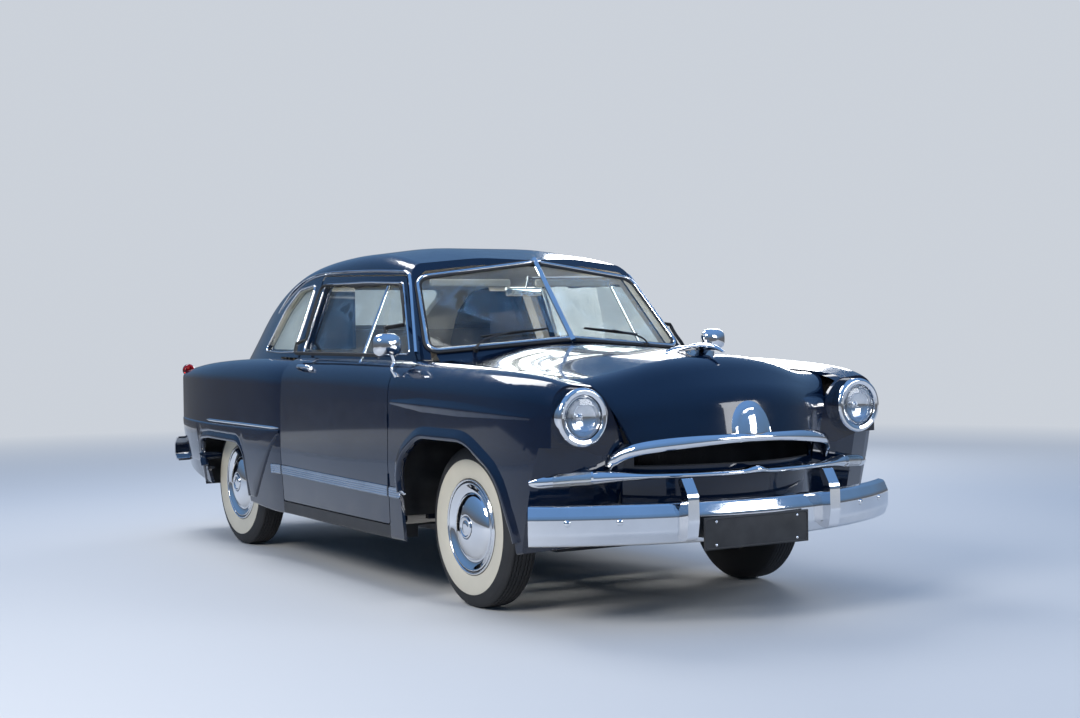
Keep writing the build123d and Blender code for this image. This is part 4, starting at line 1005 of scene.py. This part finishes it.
def seat_shell(profile, wide, inset):
    """A closed cushion form: a side outline drawn in by the inset, run across the car."""
    pts = [Vector((x / 1000, 0, z / 1000)) for x, z in profile]
    middle = sum(pts, Vector()) / len(pts)
    low = Vector((min(p.x for p in pts), 0, min(p.z for p in pts)))
    high = Vector((max(p.x for p in pts), 0, max(p.z for p in pts)))
    kx, kz = 1 - 2 * inset / (high.x - low.x), 1 - 2 * inset / (high.z - low.z)
    ring = [(middle.x + (p.x - middle.x) * kx, middle.z + (p.z - middle.z) * kz) for p in pts]
    verts = []
    half = wide / 2000 - inset
    for y in (-half, half):
        verts += [(x, y, z) for x, z in ring]
    return make_mesh("cushion_form", verts, capped(2, len(ring)), [cloth])


def applied(obj):
    """The object's mesh as its modifiers leave it, which are then taken off."""
    mesh = bpy.data.meshes.new_from_object(obj.evaluated_get(bpy.context.evaluated_depsgraph_get()))
    obj.modifiers.clear()
    return mesh


def cushion(name, profile, wide, along, gone):
    """One padded cushion: remeshed, swollen with a capped movement, channels sewn in."""
    obj = bpy.data.objects.new(name, seat_shell(profile, wide, 0.020))
    scene.collection.objects.link(obj)
    remesh = obj.modifiers.new("remesh", "REMESH")
    remesh.mode = "VOXEL"
    remesh.voxel_size = VOXEL
    round_off = obj.modifiers.new("round", "SMOOTH")
    round_off.iterations = 10
    mesh = applied(obj)
    obj.data = mesh
    before = [v.co.copy() for v in mesh.vertices]
    soft = obj.modifiers.new("swell", "CLOTH")
    soft.settings.use_pressure = True
    soft.settings.uniform_pressure_force = 4
    soft.settings.quality = 4
    soft.settings.effector_weights.gravity = 0
    soft.point_cache.frame_start = 1
    soft.point_cache.frame_end = SWELL_FRAMES
    for step in range(1, SWELL_FRAMES + 1):
        scene.frame_set(step)
    swollen = applied(obj)
    for v, start in zip(swollen.vertices, before):
        move = v.co - start
        if move.length > LARGEST_MOVE:
            v.co = start + move.normalized() * LARGEST_MOVE
    obj.data = swollen
    scene.frame_set(1)
    fine = obj.modifiers.new("fine", "SUBSURF")
    fine.levels = fine.render_levels = 1
    mesh = applied(obj)
    half = wide / 2000
    lows = [min(v.co[i] for v in mesh.vertices) for i in range(3)]
    tops = [max(v.co[i] for v in mesh.vertices) for i in range(3)]
    for v, n in zip(mesh.vertices, [v.normal.copy() for v in mesh.vertices]):
        face_on = max(n.z, 0) if along == "x" else max(n.x, 0)
        edge = min(half - abs(v.co.y), 0.16) / 0.16
        i = 0 if along == "x" else 2
        t = (v.co[i] - lows[i]) / (tops[i] - lows[i])
        panel = min(1, max(0, 8 * min(t - 0.08, 0.86 - t)))
        near = abs((v.co.y / CHANNEL + 0.5) % 1 - 0.5) * CHANNEL
        v.co -= n * (0.009 * math.exp(-(near / 0.008) ** 2) * face_on * panel * min(1, 3 * edge))
    mesh.materials.clear()
    mesh.materials.append(cloth)
    mesh.shade_smooth()
    obj.data = mesh
    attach(obj, "body")
    if gone:
        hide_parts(gone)
    for sign in (-1, 1):
        half_in = half - 0.012
        pts = [Vector((x / 1000, sign * half_in, z / 1000)) for x, z in profile]
        middle = sum(pts, Vector()) / len(pts)
        pts = [middle + (p - middle) * 0.965 for p in pts]
        path = smooth_line(pts, 90, True)
        strip("%s_piping_%s" % (name, "left" if sign > 0 else "right"), path, Vector((0, sign, 0.2)),
              round_section(0.009, 0.009, 8), ivory, "body", "ivory", closed=True, both=False)
    return obj


SEATS = [
    ("front_cushion", [(-85, 436), (395, 436), (418, 500), (385, 568), (-60, 540)], 1196, "x",
     "front_bench"),
    ("front_backrest", [(-212, 440), (-112, 440), (-82, 520), (-190, 985), (-240, 1007), (-300, 985)],
     1196, "z", ""),
    ("rear_cushion", [(-845, 436), (-435, 436), (-422, 490), (-450, 533), (-840, 505)], 1116, "x",
     "rear_bench"),
    ("rear_backrest", [(-1050, 482), (-895, 482), (-965, 850), (-1002, 1006), (-1040, 1031), (-1074, 1006)],
     1116, "z", ""),
]
for row in SEATS:
    cushion(*row)


# Splash boards: ribbed pressings that close the front wheel spaces off at the rear
verts = []
BOARD_ROWS, BOARD_COLS = 40, 14
for i in range(BOARD_ROWS):
    z = 0.345 + 0.60 * i / (BOARD_ROWS - 1)
    outer = on_side(0.812, max(z, 0.42))[0].y - 0.014
    for j in range(BOARD_COLS):
        y = 0.50 + (outer - 0.50) * j / (BOARD_COLS - 1)
        rib = max(0, math.sin(2 * math.pi * 5 * i / BOARD_ROWS))
        rib = 0.004 * math.sin(math.pi * j / (BOARD_COLS - 1)) * rib
        verts.append((0.812 + rib, y, z))
solid("splash_board", verts, grid_faces(BOARD_ROWS, BOARD_COLS), black_paint, "body", "black_paint", 60,
      both=True)

# Camera: fitted to the photograph by the car's own points
camera_data = bpy.data.cameras.new("camera")
camera = bpy.data.objects.new("camera", camera_data)
scene.collection.objects.link(camera)
scene.camera = camera
camera.location = (7.38247, -4.17219, 1.17536)
camera.rotation_euler = [math.radians(a) for a in (88.79326, 0.64674, 58.33454)]
camera_data.lens = 56.42
camera_data.sensor_width = 36

# Floor and soft studio light
bpy.ops.mesh.primitive_plane_add(size=24, location=(0, 0, -0.001))
floor = bpy.context.object
floor.name = "studio_floor"
BACKDROP = (0.60, 0.64, 0.70, 1)
floor_mat, floor_tree, floor_shader = new_material("pale_floor")
feed(floor_tree, floor_shader, {"Base Color": (0.58, 0.575, 0.56, 1), "Roughness": 0.75})
relief(floor_tree, floor_shader, noise(floor_tree, 60.0, 6.0), 0.001, 0.15)
reach = add_node(floor_tree, "VectorMath", {0: object_space(floor_tree)}, operation="LENGTH")
far = add_node(floor_tree, "Emission", {"Color": BACKDROP})
fading = spread(floor_tree, reach.outputs["Value"], 0.0, 1.0, 4.5, 11.5)
surface = mix_shader(floor_tree, fading, floor_shader.outputs["BSDF"], far.outputs["Emission"])
feed(floor_tree, floor_tree.nodes["Material Output"], {"Surface": surface})
floor.data.materials.append(floor_mat)

# Surroundings: a blue sky lights the car and shows in its metal and glass, and camera rays alone
# meet a plain pale backdrop instead
world = bpy.data.worlds.new("studio")
scene.world = world
world.use_nodes = True
sky = world.node_tree
split = add_node(sky, "SeparateXYZ", {"Vector": add_node(sky, "TexCoord").outputs["Generated"]})
ramp = add_node(sky, "ValToRGB", {"Fac": split.outputs["Z"]})
ends = ramp.color_ramp.elements
ends[0].position, ends[0].color = 0.0, (0.16, 0.17, 0.19, 1)
ends[1].position, ends[1].color = 0.8, (0.20, 0.42, 0.86, 1)
ends.new(0.18).color = (0.15, 0.27, 0.46, 1)
back = sky.nodes["Background"]
feed(sky, back, {"Color": ramp.outputs["Color"], "Strength": 0.8})
shown = add_node(sky, "Background", {"Color": BACKDROP})
seen = add_node(sky, "LightPath").outputs["Is Camera Ray"]
surface = mix_shader(sky, seen, back.outputs["Background"], shown.outputs["Background"])
feed(sky, sky.nodes["World Output"], {"Surface": surface})


def area_light(name, place, target, size, power, color=(1, 1, 1)):
    data = bpy.data.lights.new(name, "AREA")
    data.shape = "RECTANGLE"
    data.size, data.size_y = size
    data.energy = power
    data.color = color
    light = bpy.data.objects.new(name, data)
    light.location = place
    aim = Vector(target) - Vector(place)
    light.rotation_euler = aim.to_track_quat("-Z", "Y").to_euler()
    scene.collection.objects.link(light)


area_light("key", (3.5, -6.0, 4.6), (0.3, 0, 0.6), (3.0, 2.0), 380, (1.0, 0.98, 0.95))
area_light("top", (-3.2, -1.0, 6.0), (-0.5, 0, 0.5), (3, 3), 230)
area_light("fill", (7.0, 3.5, 3.0), (0.8, 0, 0.6), (3, 2), 140, (0.95, 0.97, 1.0))
area_light("rim", (-5.0, 5.5, 3.0), (-0.5, 0, 0.8), (3, 2), 130)
area_light("cabin", (0.0, 0.0, 1.43), (0.05, 0, 0.5), (0.9, 0.8), 20)

scene.cycles.use_denoising = True
scene.cycles.seed = 3
scene.view_settings.view_transform = "Standard"
